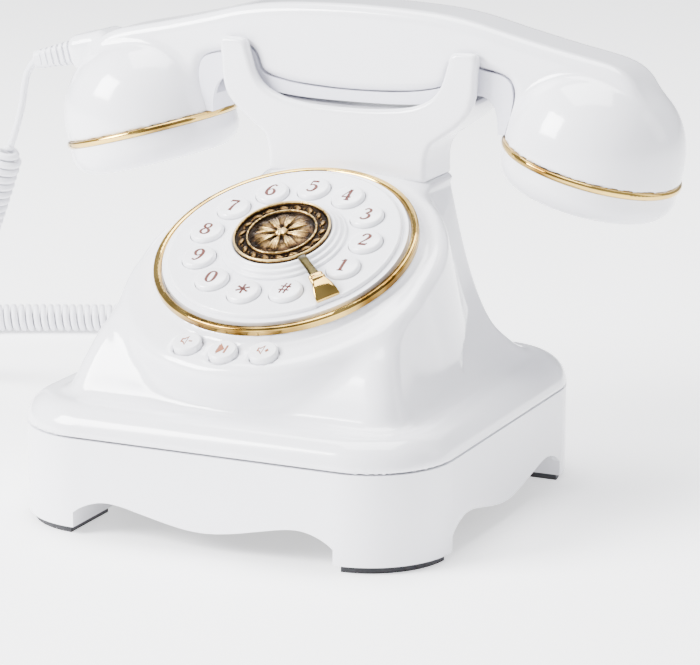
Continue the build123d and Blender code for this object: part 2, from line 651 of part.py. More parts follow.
def build_handset():
    wall = HANDSET_WALL
    band = handle_prism(HANDLE_TOP, SHELL_LOW, HANDLE_HALF)
    outer = band + handset_cup(-1, 0) + handset_cup(1, 0)
    outer += relief_boss()
    for side in (-1, 1):
        outer -= cup_frame(side) * Pos(0, 0, RING_HALF + 0.05 - 30) * Cylinder(60, 60)
    inner_top = shifted([(x * 0.975, z) for x, z in HANDLE_TOP], -wall)
    inner_low = [(0, 130.0), (30.0, 130.0), (58.0, 130.0), (63.5, 130.0)]
    hollow = handle_prism(inner_top, inner_low, HANDLE_HALF - wall)
    hollow += handset_cup(-1, wall) + handset_cup(1, wall)
    wire_bore = Pos(0, 0, -8.0) * Cylinder(2.0, 20)
    shell = outer - hollow - relief_frame() * wire_bore
    for x in HANDSET_SCREW_X:
        post = tube_between(x, HANDSET_Y, 3.2, POST_FOOT, 167.0)
        shell += (post & outer) - tube_between(x, HANDSET_Y, 1.3, POST_FOOT - 1, 160)
    keep("handset_shell", shell)

    cover_top = [(x - SEAM_CLEARANCE * (x > 50), z - SEAM_CLEARANCE) for x, z in SHELL_LOW]
    cover_half = HANDLE_HALF - COVER_RECESS
    cover = handle_prism(cover_top, COVER_LOW, cover_half)
    tray_low = shifted([(x * 0.955, z) for x, z in COVER_LOW], wall)
    tray_top = [(0, 160.0), (30.0, 160.0), (70.0, 160.0)]
    cover -= handle_prism(tray_top, tray_low, cover_half - wall)
    for side in (-1, 1):
        cover -= handset_cup(side, -SEAM_CLEARANCE)
    for x in HANDSET_SCREW_X:
        cover += tube_between(x, HANDSET_Y, 4.2, 137.0, POST_FOOT - 0.05)
        cover -= tube_between(x, HANDSET_Y, 3.0, 130.0, HEAD_SEAT)
        cover -= tube_between(x, HANDSET_Y, 1.5, 130.0, POST_FOOT + 1)
    keep("handset_grip_cover", cover)
    keep("handset_screws", *[Pos(x, HANDSET_Y, HEAD_SEAT) * screw(2.7, 1.8, 1.25, 14.0)
                             for x in HANDSET_SCREW_X])
    weight = block(-21, 21, HANDSET_Y - 6, HANDSET_Y + 6, 152, 160)
    keep("handset_weight", fillet(weight.edges().filter_by(Axis.Z), 2.0))

    for side, ring_name, cap_name in ((1, "ear_ring", "ear_cap"), (-1, "mouth_ring", "mouth_cap")):
        place = cup_frame(side)
        ring = tube_between(0, 0, CUP_RING, -RING_HALF, RING_HALF)
        ring = fillet(ring.edges(), 1.1) - tube_between(0, 0, CUP_RING_BORE, -5, 5)
        keep(ring_name, place * ring)
        cap = tube_between(0, 0, CUP_RADIUS, -CAP_DEPTH, -RING_HALF - 0.05)
        cap = fillet(cap.edges().sort_by(Axis.Z)[0], CAP_ROUND)
        cap -= Pos(0, 0, 0) * fillet(
            tube_between(0, 0, CUP_RADIUS - wall, wall - CAP_DEPTH, 5).edges().sort_by(Axis.Z)[0],
            CAP_ROUND - wall)
        cap -= tube_between(0, 0, 1.4, -CAP_DEPTH - 1, 0)
        for hole in range(6):
            angle = 2 * pi * hole / 6
            cap -= tube_between(7 * cos(angle), 7 * sin(angle), 1.4, -CAP_DEPTH - 1, 0)
        keep(cap_name, place * cap)
    floor = wall - CAP_DEPTH + 0.02
    speaker = tube_between(0, 0, 17, floor, floor + 2.4)
    speaker += tube_between(0, 0, 11, floor, floor + 6.5)
    keep("ear_speaker", cup_frame(1) * speaker)
    capsule = tube_between(0, 0, 4.8, floor + 1.0, floor + 6.0)
    capsule += tube_between(0, 0, 9.5, floor, floor + 1.6)
    keep("microphone", cup_frame(-1) * capsule)


# ---- cord ----
def relief_frame():
    """The strain relief's frame: its Z runs from the root to the tip."""
    along = Vector(*RELIEF_TIP) - Vector(*RELIEF_ROOT)
    return Plane(origin=RELIEF_ROOT, x_dir=(0, 1, 0), z_dir=along).location


def relief_boss():
    """The blunt end of the handle that the strain relief comes out of."""
    boss = Box(20.0, 12.5, 16.0)
    boss = fillet(boss.edges().filter_by(Axis.Z), 5.0)
    return relief_frame() * Pos(0, 0, -8.0) * boss


def build_cord():
    length = (Vector(*RELIEF_TIP) - Vector(*RELIEF_ROOT)).length
    root = fillet(Rectangle(9.0, 9.6).vertices(), 2.6)
    tip = Pos(0, 0, length) * fillet(Rectangle(6.4, 6.8).vertices(), 2.4)
    relief = loft([root, tip])
    for rib in range(6):
        at = 2.6 + rib * 2.6
        cut = Box(14, 14, 1.1) - Box(6.2, 6.4, 2)
        relief -= Pos(0, 0, at) * cut
    keep("handset_strain_relief", relief_frame() * relief)
    keep("handset_lead", cord_tube("handset_lead", LEAD_ROUTE, WIRE))
    keep("curly_cord", cord_tube("curly_cord", COIL_ROUTE, COIL_OUTER))
    keep("base_lead", cord_tube("base_lead", BASE_LEAD_ROUTE, WIRE))


def cord_tube(name, points, diameter):
    """A tube of straight runs joined by tangent arcs, each as large as its runs allow."""
    places = [Vector(*point) for point in points]
    runs = [b - a for a, b in zip(places, places[1:])]
    radii = []
    for before, after in zip(runs, runs[1:]):
        turn = radians(before.get_angle(after))
        radii.append(0.45 * min(before.length, after.length) / tan(turn / 2))
    path = FilletPolyline(*points, radius=radii)
    section = Plane(origin=points[0], z_dir=path % 0) * Circle(diameter / 2)
    tube = sweep(section, path=path)
    expected = pi * diameter ** 2 / 4 * path.length
    print(name, "radii", [round(r, 1) for r in radii], "length", round(path.length, 1),
          "volume ratio", round(tube.volume / expected, 4))
    return tube


# ---- electronics in the base ----
def build_inside():
    floor = PLATE_Z + PLATE_THICKNESS
    board_low = floor + STANDOFF
    board_top = board_low + BOARD_THICKNESS
    board = block(-36, 36, MAIN_BOARD_Y - 11, MAIN_BOARD_Y + 11, board_low + 0.02, board_top)
    for x, y in MAIN_BOARD_SCREWS:
        board -= tube_between(x, y, 1.4, 0, 60)
    keep("main_circuit_board", board)
    keep("board_screws", *[Pos(x, y, board_top + 0.02) * Rot(180, 0, 0)
                           * screw(2.4, 1.5, 1.15, 3.0) for x, y in MAIN_BOARD_SCREWS])
    width, depth, height = JACK_SIZE
    jack_y = BASE_HALF - 0.8 - depth
    jack = block(JACK_X - width / 2, JACK_X + width / 2, jack_y, jack_y + depth,
                 JACK_Z - height / 2, JACK_Z + height / 2)
    plug_w, plug_d, plug_h = PLUG_SIZE
    socket = block(JACK_X - plug_w / 2 - PLUG_GAP, JACK_X + plug_w / 2 + PLUG_GAP,
                   BASE_HALF - PLUG_INSET - 0.5, BASE_HALF + 1,
                   JACK_Z - plug_h / 2 - PLUG_GAP, JACK_Z + plug_h / 2 + PLUG_GAP)
    keep("handset_jack", jack - socket)
    plug_end = BASE_HALF + PLUG_PROUD
    plug = block(JACK_X - plug_w / 2, JACK_X + plug_w / 2, BASE_HALF - PLUG_INSET, plug_end,
                 JACK_Z - plug_h / 2, JACK_Z + plug_h / 2)
    collar = Pos(0, 0, -COLLAR_LENGTH / 2) * Cylinder(2.4, COLLAR_LENGTH)
    keep("cord_plug", plug + rear_plane(JACK_X, plug_end) * collar)
    port_outer = extrude(rear_plane(-JACK_X, BASE_HALF - 1.2) * RectangleRounded(9.0, 3.3, 1.6),
                         amount=7.5)
    port_inner = extrude(rear_plane(-JACK_X, BASE_HALF) * RectangleRounded(8.3, 2.6, 1.25),
                         amount=7.9)
    tongue = block(-JACK_X - 3.3, -JACK_X + 3.3, BASE_HALF - 7.9, BASE_HALF - 2.2,
                   JACK_Z - 0.35, JACK_Z + 0.35)
    foot = block(-JACK_X - 4.0, -JACK_X + 4.0, BASE_HALF - 8.7, BASE_HALF - 8.0,
                 board_top + 0.02, JACK_Z + 1.0)
    keep("charging_port", (port_outer - port_inner) + tongue + foot)

    battery = block(-62, -8, -42, -6, floor + 0.05, floor + 8.5)
    battery = fillet(battery.edges().filter_by(Axis.X), 3.0)
    keep("battery_pack", battery)
    speaker = tube_between(SPEAKER_X, SPEAKER_Y, 22.0, floor + 0.05, floor + 2.2)
    speaker += Pos(SPEAKER_X, SPEAKER_Y, floor + 6.2) * Cone(20.0, 11.0, 8.0)
    speaker += tube_between(SPEAKER_X, SPEAKER_Y, 12.5, floor + 10.2, floor + 16.0)
    speaker -= Pos(SPEAKER_X, SPEAKER_Y, floor + 4.0) * Cone(19.0, 9.0, 7.6)
    keep("loudspeaker", speaker)


if __name__ == "__main__":
    build_base()
    build_housing()
    build_dial()
    build_function_buttons()
    build_cradle()
    build_handset()
    build_cord()
    build_inside()
    os.makedirs("parts", exist_ok=True)
    for name, shape in PARTS.items():
        export_step(shape, f"parts/{name}.step")
        box = shape.bounding_box()
        print(name, len(shape.solids()), round(shape.volume), box.min, box.max)
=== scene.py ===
import math

import bpy
import numpy as np
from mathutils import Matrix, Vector


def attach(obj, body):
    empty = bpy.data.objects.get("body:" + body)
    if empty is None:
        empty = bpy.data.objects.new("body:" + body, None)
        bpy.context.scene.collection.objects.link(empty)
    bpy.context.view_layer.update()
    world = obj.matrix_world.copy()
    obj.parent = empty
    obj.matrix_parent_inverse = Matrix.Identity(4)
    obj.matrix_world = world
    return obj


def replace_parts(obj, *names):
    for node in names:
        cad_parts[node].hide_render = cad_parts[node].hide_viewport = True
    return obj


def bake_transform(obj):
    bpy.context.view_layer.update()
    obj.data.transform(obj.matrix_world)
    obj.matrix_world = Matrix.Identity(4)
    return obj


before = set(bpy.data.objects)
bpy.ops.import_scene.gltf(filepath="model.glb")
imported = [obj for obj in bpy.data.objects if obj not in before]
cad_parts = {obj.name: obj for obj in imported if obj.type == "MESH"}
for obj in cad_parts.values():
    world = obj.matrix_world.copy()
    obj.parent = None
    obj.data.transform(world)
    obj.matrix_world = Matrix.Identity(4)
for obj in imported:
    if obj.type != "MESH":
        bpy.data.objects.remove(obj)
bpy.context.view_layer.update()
MM = 0.001
scene = bpy.context.scene


def link(obj):
    scene.collection.objects.link(obj)
    return obj


# ---------------------------------------------------------------- camera
camera_data = bpy.data.cameras.new("camera")
camera_data.sensor_width = 36.0
camera_data.lens = 163.74
CAMERA_PLACE = (0.4753, -0.9804, 0.3320)
CAMERA_DOWN, CAMERA_TURN = 0.246, 0.436
camera = link(bpy.data.objects.new("camera", camera_data))
camera.location = CAMERA_PLACE
camera.rotation_euler = (math.pi / 2 - CAMERA_DOWN, 0.0, CAMERA_TURN)
scene.camera = camera


# ---------------------------------------------------------------- mesh helpers
def mesh_object(name, verts, faces, material, body=None, smooth=True):
    """A mesh in millimetres, put into the scene in metres."""
    mesh = bpy.data.meshes.new(name)
    mesh.from_pydata((np.asarray(verts, float) * MM).tolist(), [],
                     [tuple(int(i) for i in f) for f in faces])
    mesh.validate()
    mesh.update()
    mesh.polygons.foreach_set("use_smooth", [smooth] * len(mesh.polygons))
    obj = link(bpy.data.objects.new(name, mesh))
    obj.data.materials.append(material)
    if body:
        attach(obj, body)
    return obj


def ring_faces(rows, sides):
    """Quads between rings of points that follow each other, and a cap on each end."""
    faces = []
    for i in range(rows - 1):
        for k in range(sides):
            n = (k + 1) % sides
            faces.append((i * sides + k, i * sides + n, (i + 1) * sides + n, (i + 1) * sides + k))
    faces.append(tuple(range(sides))[::-1])
    faces.append(tuple(range((rows - 1) * sides, rows * sides)))
    return faces


def tube_mesh(line, radius, sides=8):
    """Rings of points round a line, carried along it without twist."""
    line = np.asarray(line, float)
    step = np.gradient(line, axis=0)
    step /= np.linalg.norm(step, axis=1)[:, None]
    side = np.cross(step[0], [0.3, 0.5, 0.81])
    side /= np.linalg.norm(side)
    verts = []
    for p, t in zip(line, step):
        side = side - t * (side @ t)
        side /= np.linalg.norm(side)
        other = np.cross(t, side)
        for k in range(sides):
            a = 2 * math.pi * k / sides
            verts.append(p + radius * (math.cos(a) * side + math.sin(a) * other))
    return np.array(verts), ring_faces(len(line), sides)


# ---------------------------------------------------------------- materials
BUMP_HEIGHT = 0.0001


def new_material(name, color, roughness, metallic=0.0, coat=0.0):
    mat = bpy.data.materials.new(name)
    mat.use_nodes = True
    shader = mat.node_tree.nodes["Principled BSDF"]
    shader.inputs["Base Color"].default_value = (*color, 1.0)
    shader.inputs["Roughness"].default_value = roughness
    shader.inputs["Metallic"].default_value = metallic
    shader.inputs["Coat Weight"].default_value = coat
    shader.inputs["Coat Roughness"].default_value = 0.06
    return mat, shader


def coords(tree):
    return tree.nodes.new("ShaderNodeTexCoord").outputs["Object"]


def noise(tree, scale, detail=3.0):
    node = tree.nodes.new("ShaderNodeTexNoise")
    node.inputs["Scale"].default_value = scale
    node.inputs["Detail"].default_value = detail
    tree.links.new(coords(tree), node.inputs["Vector"])
    return node.outputs["Fac"]


def ramp(tree, source, stops):
    node = tree.nodes.new("ShaderNodeValToRGB")
    node.color_ramp.elements[0].position = stops[0][0]
    node.color_ramp.elements[0].color = (*stops[0][1], 1)
    node.color_ramp.elements[1].position = stops[-1][0]
    node.color_ramp.elements[1].color = (*stops[-1][1], 1)
    for place, color in stops[1:-1]:
        element = node.color_ramp.elements.new(place)
        element.color = (*color, 1)
    tree.links.new(source, node.inputs["Fac"])
    return node.outputs["Color"]


def spread(tree, source, low, high):
    node = tree.nodes.new("ShaderNodeMapRange")
    node.inputs["From Min"].default_value = 0.3
    node.inputs["From Max"].default_value = 0.7
    node.inputs["To Min"].default_value = low
    node.inputs["To Max"].default_value = high
    tree.links.new(source, node.inputs["Value"])
    return node.outputs["Result"]


def bump(tree, shader, source, strength, distance):
    node = tree.nodes.new("ShaderNodeBump")
    node.inputs["Strength"].default_value = strength
    node.inputs["Distance"].default_value = distance
    tree.links.new(source, node.inputs["Height"])
    tree.links.new(node.outputs["Normal"], shader.inputs["Normal"])


def plastic(name, color, roughness, coat, grain=0.05, shift=0.012):
    """Moulded plastic: a faint mottle in colour, a little unevenness in gloss and surface."""
    mat, shader = new_material(name, color, roughness, coat=coat)
    tree = mat.node_tree
    darker = tuple(max(c - shift, 0) for c in color)
    tree.links.new(ramp(tree, noise(tree, 60.0), [(0.35, darker), (0.65, color)]),
                   shader.inputs["Base Color"])
    tree.links.new(spread(tree, noise(tree, 35.0, 4.0), roughness * 0.85, roughness * 1.2),
                   shader.inputs["Roughness"])
    bump(tree, shader, noise(tree, 900.0, 2.0), grain, BUMP_HEIGHT)
    return mat


def metal(name, color, roughness, painted_reflection=None, spots=180.0):
    """Metal: two tones in soft spots, fine scratches in gloss and surface. A dark tone passed in
    paints dark reflections as the darker spots.
    """
    mat, shader = new_material(name, color, roughness, metallic=1.0)
    tree = mat.node_tree
    tone_and_painted_reflection = painted_reflection or (color[0] * 0.86, color[1] * 0.80, color[2] * 0.70)
    tree.links.new(ramp(tree, noise(tree, spots), [(0.38, tone_and_painted_reflection), (0.56, color)]),
                   shader.inputs["Base Color"])
    tree.links.new(spread(tree, noise(tree, 300.0, 4.0), roughness * 0.7, roughness * 1.5),
                   shader.inputs["Roughness"])
    bump(tree, shader, noise(tree, 700.0), 0.06, BUMP_HEIGHT)
    return mat


# the print and the gold are darker here than they look once the light is on them
WHITE = plastic("gloss_white", (0.86, 0.86, 0.90), 0.16, 0.6)
KEY_WHITE = plastic("key_white", (0.86, 0.86, 0.89), 0.22, 0.4)
# the grip cover is painted darker and bluer than the shell's white: painted shade for its recess
# under the handle
GRIP_PAINTED_SHADE = plastic("grip_white", (0.74, 0.74, 0.82), 0.30, 0.2, grain=0.12)
CORD = plastic("cord_white", (0.78, 0.78, 0.82), 0.42, 0.0, grain=0.10)
BLACK_RUBBER = plastic("black_rubber", (0.022, 0.022, 0.025), 0.65, 0.0, grain=0.5, shift=0.008)
DARK = plastic("dark_plastic", (0.05, 0.05, 0.055), 0.5, 0.0, grain=0.3, shift=0.01)
DOME = plastic("dome_rubber", (0.45, 0.46, 0.48), 0.6, 0.0, grain=0.3)
BOARD = plastic("solder_mask", (0.02, 0.16, 0.07), 0.35, 0.2, grain=0.2)
BATTERY = plastic("battery_wrap", (0.04, 0.12, 0.35), 0.3, 0.3)
# the gold's near-black second tone, in broad spots, is a painted dark reflection
GOLD = metal("polished_gold", (0.74, 0.50, 0.14), 0.08, painted_reflection=(0.14, 0.07, 0.01), spots=32.0)
COPPER = plastic("copper_print", (0.085, 0.014, 0.005), 0.6, 0.0, shift=0.01)
ROSE_GOLD = plastic("rose_gold_print", (0.27, 0.09, 0.04), 0.5, 0.0)
STOP_METAL = metal("finger_stop_metal", (0.80, 0.66, 0.48), 0.20)
STEEL = metal("screw_steel", (0.62, 0.62, 0.64), 0.30)
KEY_NAMES = ["1", "2", "3", "4", "5", "6", "7", "8", "9", "0", "star", "hash"]
LOOKS = {
    WHITE: ["lower_skirt", "upper_housing", "dial_plate", "dial_hub", "cradle", "handset_shell",
            "ear_cap", "mouth_cap"],
    KEY_WHITE: ["key_" + name for name in KEY_NAMES] + [
        "volume_down_button", "play_button", "volume_up_button", "hook_plunger_left",
        "hook_plunger_right"],
    GRIP_PAINTED_SHADE: ["handset_grip_cover"],
    CORD: ["handset_strain_relief", "handset_lead", "curly_cord", "base_lead", "cord_plug"],
    BLACK_RUBBER: ["rubber_feet"],
    DARK: ["base_plate", "key_board_spacers", "hook_switches", "ear_speaker", "microphone",
           "handset_jack", "loudspeaker"],
    DOME: ["key_domes", "function_domes"],
    BOARD: ["key_circuit_board", "function_board", "main_circuit_board"],
    BATTERY: ["battery_pack"],
    GOLD: ["dial_trim_ring", "dial_medallion", "ear_ring", "mouth_ring"],
    STOP_METAL: ["finger_stop"],
    STEEL: ["base_screws", "dial_screws", "cradle_screws", "hook_springs", "handset_screws",
            "handset_weight", "board_screws", "charging_port"],
}
for look, names in LOOKS.items():
    for name in names:
        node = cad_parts[name]
        node.data.materials.clear()
        node.data.materials.append(look)


# ---------------------------------------------------------------- cord
LEAD_ROUTE = [
    (-137.5, 53.0, 138.4), (-141.0, 53.0, 134.8), (-142.8, 53.0, 128.1), (-144.0, 53.0, 120.5),
    (-146.5, 53.0, 112.5), (-149.5, 53.0, 104.5),
]
COIL_ROUTE = [
    (-154.8, 53.0, 90.0), (-162.5, 54.0, 71.0), (-173.5, 57.5, 51.0),
    (-187.0, 64.0, 32.0), (-203.5, 73.0, 16.5), (-220.6, 83.0, 7.6), (-238.9, 102.0, 6.2),
    (-242.4, 128.1, 6.2), (-229.7, 151.1, 6.2), (-205.0, 163.3, 6.2), (-172.0, 177.8, 6.2),
    (-139.0, 190.0, 6.2), (-103.0, 195.0, 6.2), (-69.0, 189.5, 6.2), (-41.0, 170.0, 6.2),
    (-26.0, 143.0, 6.4),
]
BASE_LEAD_ROUTE = [
    (-22.4, 131.5, 6.8), (-21.2, 120.5, 11.0), (-21.5, 110.0, 18.5), (-22.0, 99.5, 24.3),
    (-22.0, 89.5, 24.3),
]
WIRE = 2.8
COIL_RADIUS = 4.6
COIL_PITCH = 3.15
COIL_FADE = 5.0


def route_line(points):
    """The smooth line of a NURBS spline with the given control points."""
    curve = bpy.data.curves.new("route", "CURVE")
    curve.dimensions = "3D"
    spline = curve.splines.new("NURBS")
    spline.points.add(len(points) - 1)
    for place, point in zip(spline.points, points):
        place.co = (*point, 1.0)
    spline.order_u = 3
    spline.use_endpoint_u = True
    spline.resolution_u = 24
    holder = bpy.data.objects.new("route", curve)
    mesh = bpy.data.meshes.new_from_object(holder)
    line = np.array([v.co for v in mesh.vertices], float)
    bpy.data.meshes.remove(mesh)
    bpy.data.objects.remove(holder)
    bpy.data.curves.remove(curve)
    return line


def resample(line, step):
    along = np.concatenate([[0], np.cumsum(np.linalg.norm(np.diff(line, axis=0), axis=1))])
    count = int(along[-1] / step) + 1
    places = np.linspace(0, along[-1], count)
    return np.stack([np.interp(places, along, line[:, k]) for k in range(3)], 1), places


def build_cord():
    line = route_line(LEAD_ROUTE + COIL_ROUTE + BASE_LEAD_ROUTE)
    fine, places = resample(line, COIL_PITCH / 18)
    start = places[np.argmin(np.linalg.norm(fine - np.array(LEAD_ROUTE[-1]), axis=1))]
    end = places[np.argmin(np.linalg.norm(fine - np.array(COIL_ROUTE[-1]), axis=1))]
    rise = (np.clip((places - start) / COIL_FADE, 0, 1)
            * np.clip((end - places) / COIL_FADE, 0, 1))
    radius = COIL_RADIUS * rise * rise * (3 - 2 * rise)
    step = np.gradient(fine, axis=0)
    step /= np.linalg.norm(step, axis=1)[:, None]
    side = np.cross(step[0], [0, 1, 0])
    path = []
    for p, t, r, s in zip(fine, step, radius, places):
        side = side - t * (side @ t)
        side /= np.linalg.norm(side)
        a = 2 * math.pi * (s - start) / COIL_PITCH
        path.append(p + r * (math.cos(a) * side + math.sin(a) * np.cross(t, side)))
    path = np.array(path)
    keep = np.ones(len(path), bool)
    keep[(radius == 0) & (np.arange(len(path)) % 6 > 0)] = False
    keep[[0, -1]] = True
    path = path[keep]
    path[:, 2] = np.maximum(path[:, 2], WIRE / 2 + 0.05)
    verts, faces = tube_mesh(path, WIRE / 2, 8)
    cord = mesh_object("handset_cord", verts, faces, CORD)
    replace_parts(cord, "handset_lead", "curly_cord", "base_lead")
    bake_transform(cord)


build_cord()


# ---------------------------------------------------------------- solid shapes as fields
def smooth_max(a, b, k):
    h = np.clip(0.5 - 0.5 * (b - a) / k, 0, 1)
    return b + (a - b) * h + k * h * (1 - h)


def smooth_min(a, b, k):
    return -smooth_max(-a, -b, k)


def round_both(a, b, r):
    """Intersection of two distances with a round edge of radius r."""
    wa, wb = a + r, b + r
    return np.sqrt(np.maximum(wa, 0) ** 2 + np.maximum(wb, 0) ** 2) + np.minimum(
        np.maximum(wa, wb), 0) - r


def outline_distance(u, v, points):
    """Signed distance in a plane to a closed outline, negative inside."""
    u, v = np.broadcast_arrays(u, v)
    best = np.full(u.shape, 1e9)
    inside = np.zeros(u.shape, bool)
    for (ax, ay), (bx, by) in zip(points, points[1:] + points[:1]):
        dx, dy = bx - ax, by - ay
        size = dx * dx + dy * dy
        if size < 1e-12:
            continue
        t = np.clip(((u - ax) * dx + (v - ay) * dy) / size, 0, 1)
        best = np.minimum(best, (u - ax - t * dx) ** 2 + (v - ay - t * dy) ** 2)
        if dy:
            crosses = (ay > v) != (by > v)
            inside ^= crosses & (u < ax + (v - ay) * dx / dy)
    return np.sqrt(best) * np.where(inside, -1, 1)


def smooth_curve(points, per=8):
    """A curve through its points, by Catmull and Rom's rule, as a list of pairs."""
    pts = [np.array(p, float) for p in points]
    pts = [2 * pts[0] - pts[1]] + pts + [2 * pts[-1] - pts[-2]]
    out = []
    for a, b, c, d in zip(pts, pts[1:], pts[2:], pts[3:]):
        for i in range(per):
            t = i / per
            out.append(tuple(0.5 * (2 * b + (c - a) * t + (2 * a - 5 * b + 4 * c - d) * t ** 2
                                    + (3 * b - a - 3 * c + d) * t ** 3)))
    out.append(tuple(pts[-2]))
    return out


def field_mesh(function, low, high, step):
    """Quads on the zero surface of a field, each corner moved exactly onto it."""
    axes = [np.arange(lo, hi + step, step) for lo, hi in zip(low, high)]
    x, y, z = axes[0][:, None, None], axes[1][None, :, None], axes[2][None, None, :]
    field = np.broadcast_to(function(x, y, z), tuple(len(a) for a in axes)).astype(float)
    field = np.where(np.abs(field) < 1e-6, 1e-6, field)
    n = [len(a) - 1 for a in axes]
    corner = {}
    for i in (0, 1):
        for j in (0, 1):
            for k in (0, 1):
                corner[i, j, k] = field[i:n[0] + i, j:n[1] + j, k:n[2] + k]
    total = np.zeros((*n, 3))
    count = np.zeros(n)
    for a in corner:
        for axis in range(3):
            if a[axis]:
                continue
            b = tuple(1 if m == axis else a[m] for m in range(3))
            fa, fb = corner[a], corner[b]
            cross = (fa < 0) != (fb < 0)
            t = np.where(cross, fa / np.where(cross, fa - fb, 1), 0)
            count += cross
            for m in range(3):
                total[..., m] += np.where(cross, a[m] + (t if m == axis else 0), 0)
    active = count > 0
    index = np.full(n, -1)
    index[active] = np.arange(active.sum())
    cell = np.argwhere(active)
    origin = np.array([a[0] for a in axes])
    verts = origin + step * (cell + total[active] / count[active][:, None])
    faces = []
    for axis in range(3):
        o1, o2 = [(1, 2), (2, 0), (0, 1)][axis]
        sl = [slice(0, n[m]) for m in range(3)]
        a = field[tuple(slice(0, n[m]) if m == axis else slice(1, n[m]) for m in range(3))]
        b = field[tuple(slice(1, n[m] + 1) if m == axis else slice(1, n[m]) for m in range(3))]
        cross = (a < 0) != (b < 0)
        flip = b < 0
        places = np.argwhere(cross)
        flips = flip[cross]
        places = places + np.array([0 if m == axis else 1 for m in range(3)])

        def at(d1, d2):
            p = places.copy()
            p[:, o1] -= d1
            p[:, o2] -= d2
            return index[p[:, 0], p[:, 1], p[:, 2]]
        quad = np.stack([at(1, 1), at(0, 1), at(0, 0), at(1, 0)], 1)
        quad[flips] = quad[flips][:, ::-1]
        faces.append(quad)
    faces = np.concatenate(faces)
    faces = faces[(faces >= 0).all(1)]

    def value(p):
        return np.ravel(function(p[:, 0], p[:, 1], p[:, 2]))
    for _ in range(3):
        f = value(verts)
        e = 0.05
        grad = np.stack([(value(verts + e * d) - value(verts - e * d)) / (2 * e)
                         for d in np.eye(3)], 1)
        size = np.maximum((grad ** 2).sum(1), 0.2)
        move = -f[:, None] * grad / size[:, None]
        far = np.linalg.norm(move, axis=1)
        move *= np.minimum(1, 0.6 * step / np.maximum(far, 1e-9))[:, None]
        verts = verts + move
    return verts, faces


# ---------------------------------------------------------------- housing
BASE_HALF, BASE_CORNER = 79.0, 30.0
SEAM_TOP, SHOULDER_TOP, SHOULDER_ROUND = 34.3, 44.5, 9.5
NECK_TOP, NECK_FRONT = 108.0, 35.3
DIAL_PLACE = np.array([0.0, -13.0, 91.6])
TILT = math.radians(25.4)
DIAL_V = np.array([0.0, math.cos(TILT), math.sin(TILT)])
DIAL_N = np.array([0.0, -math.sin(TILT), math.cos(TILT)])
# height, half width in front, half width behind, front y, rear y, corner radius
PILLAR = np.array([
    (36.0, 71.5, 73.5, -69.0, 72.0, 17.0),
    (42.0, 67.5, 67.5, -64.5, 67.5, 14.0),
    (46.0, 64.0, 59.5, -61.5, 65.5, 12.0),
    (54.0, 61.0, 49.0, -57.5, 64.0, 10.0),
    (65.0, 57.0, 43.0, -50.0, 63.0, 9.0),
    (78.0, 51.0, 38.4, -30.0, 62.2, 8.0),
    (92.0, 42.5, 34.8, 0.0, 61.5, 7.0),
    (97.0, 39.1, 33.7, 11.0, 61.3, 6.5),
    (102.5, 35.2, 32.5, 23.1, 61.0, 5.7),
    (NECK_TOP, 31.3, 31.3, NECK_FRONT, 60.8, 5.0),
])
BUTTON_CIRCLE, BUTTON_ANGLES = 54.0, (-106.0, -90.5, -75.0)
LOBE_RADIUS, LOBE_GROWTH, LOBE_DEPTH, LOBE_DROP = 56.0, 8.5, 44.0, 4.0
COLLAR_RADIUS, PLATE_SEAT_RADIUS, WELL_RADIUS, WELL_DEPTH = 47.2, 47.05, 38.5, 25.0
PLATE_SEAT = 1.4


def smooth_table(z, heights, values):
    """A cubic through the table's rows, without overshoot between them."""
    h = np.diff(heights)
    d = np.diff(values) / h
    m = np.zeros(len(values))
    m[1:-1] = np.where(d[:-1] * d[1:] > 0,
                       2 * d[:-1] * d[1:] / np.where(d[:-1] + d[1:] == 0, 1, d[:-1] + d[1:]), 0)
    m[0], m[-1] = d[0], d[-1]
    i = np.clip(np.searchsorted(heights, z) - 1, 0, len(h) - 1)
    t = np.clip((z - heights[i]) / h[i], 0, 1)
    return (values[i] * (2 * t ** 3 - 3 * t ** 2 + 1) + m[i] * h[i] * (t ** 3 - 2 * t ** 2 + t)
            + values[i + 1] * (3 * t ** 2 - 2 * t ** 3) + m[i + 1] * h[i] * (t ** 3 - t ** 2))


def round_place(radius, degrees):
    return radius * math.cos(math.radians(degrees)), radius * math.sin(math.radians(degrees))


def dial_coords(x, y, z):
    y0, z0 = y - DIAL_PLACE[1], z - DIAL_PLACE[2]
    return x, y0 * DIAL_V[1] + z0 * DIAL_V[2], y0 * DIAL_N[1] + z0 * DIAL_N[2]


def pillar_field(x, y, z):
    row = [smooth_table(z, PILLAR[:, 0], PILLAR[:, k]) for k in range(1, 6)]
    half_front, half_rear, y_front, y_rear, radius = row
    slope = (half_rear - half_front) / (y_rear - y_front)
    lean = np.sqrt(1 + slope ** 2)
    sides = (np.abs(x) - half_front - slope * (y - y_front)) / lean
    ends = np.maximum(y_front - y, y - y_rear)
    flat = round_both(sides, ends, radius)
    bead = np.sqrt((flat + 0.2) ** 2 + (z - NECK_TOP + 1.3) ** 2) - 1.2
    return smooth_min(round_both(flat, z - NECK_TOP, 0.6), bead, 0.5)


def lobe_field(x, y, z):
    u, v, h = dial_coords(x, y, z)
    r = np.sqrt(u ** 2 + v ** 2) + 1e-9
    under = (-v / r - 0.15) / 0.85
    below = (under + np.sqrt(under ** 2 + 0.004)) / 2
    flat = r - (LOBE_RADIUS + LOBE_GROWTH * ((below + 0.02) ** 0.6 - 0.02 ** 0.6))
    prism = round_both(flat, h + LOBE_DROP, 4.5)
    collar = round_both(r - COLLAR_RADIUS, h + PLATE_SEAT, 0.4)
    prism = smooth_min(prism, np.maximum(collar, -h - 12), 3.0)
    return np.maximum(np.maximum(prism, -LOBE_DEPTH - h), y - NECK_FRONT)


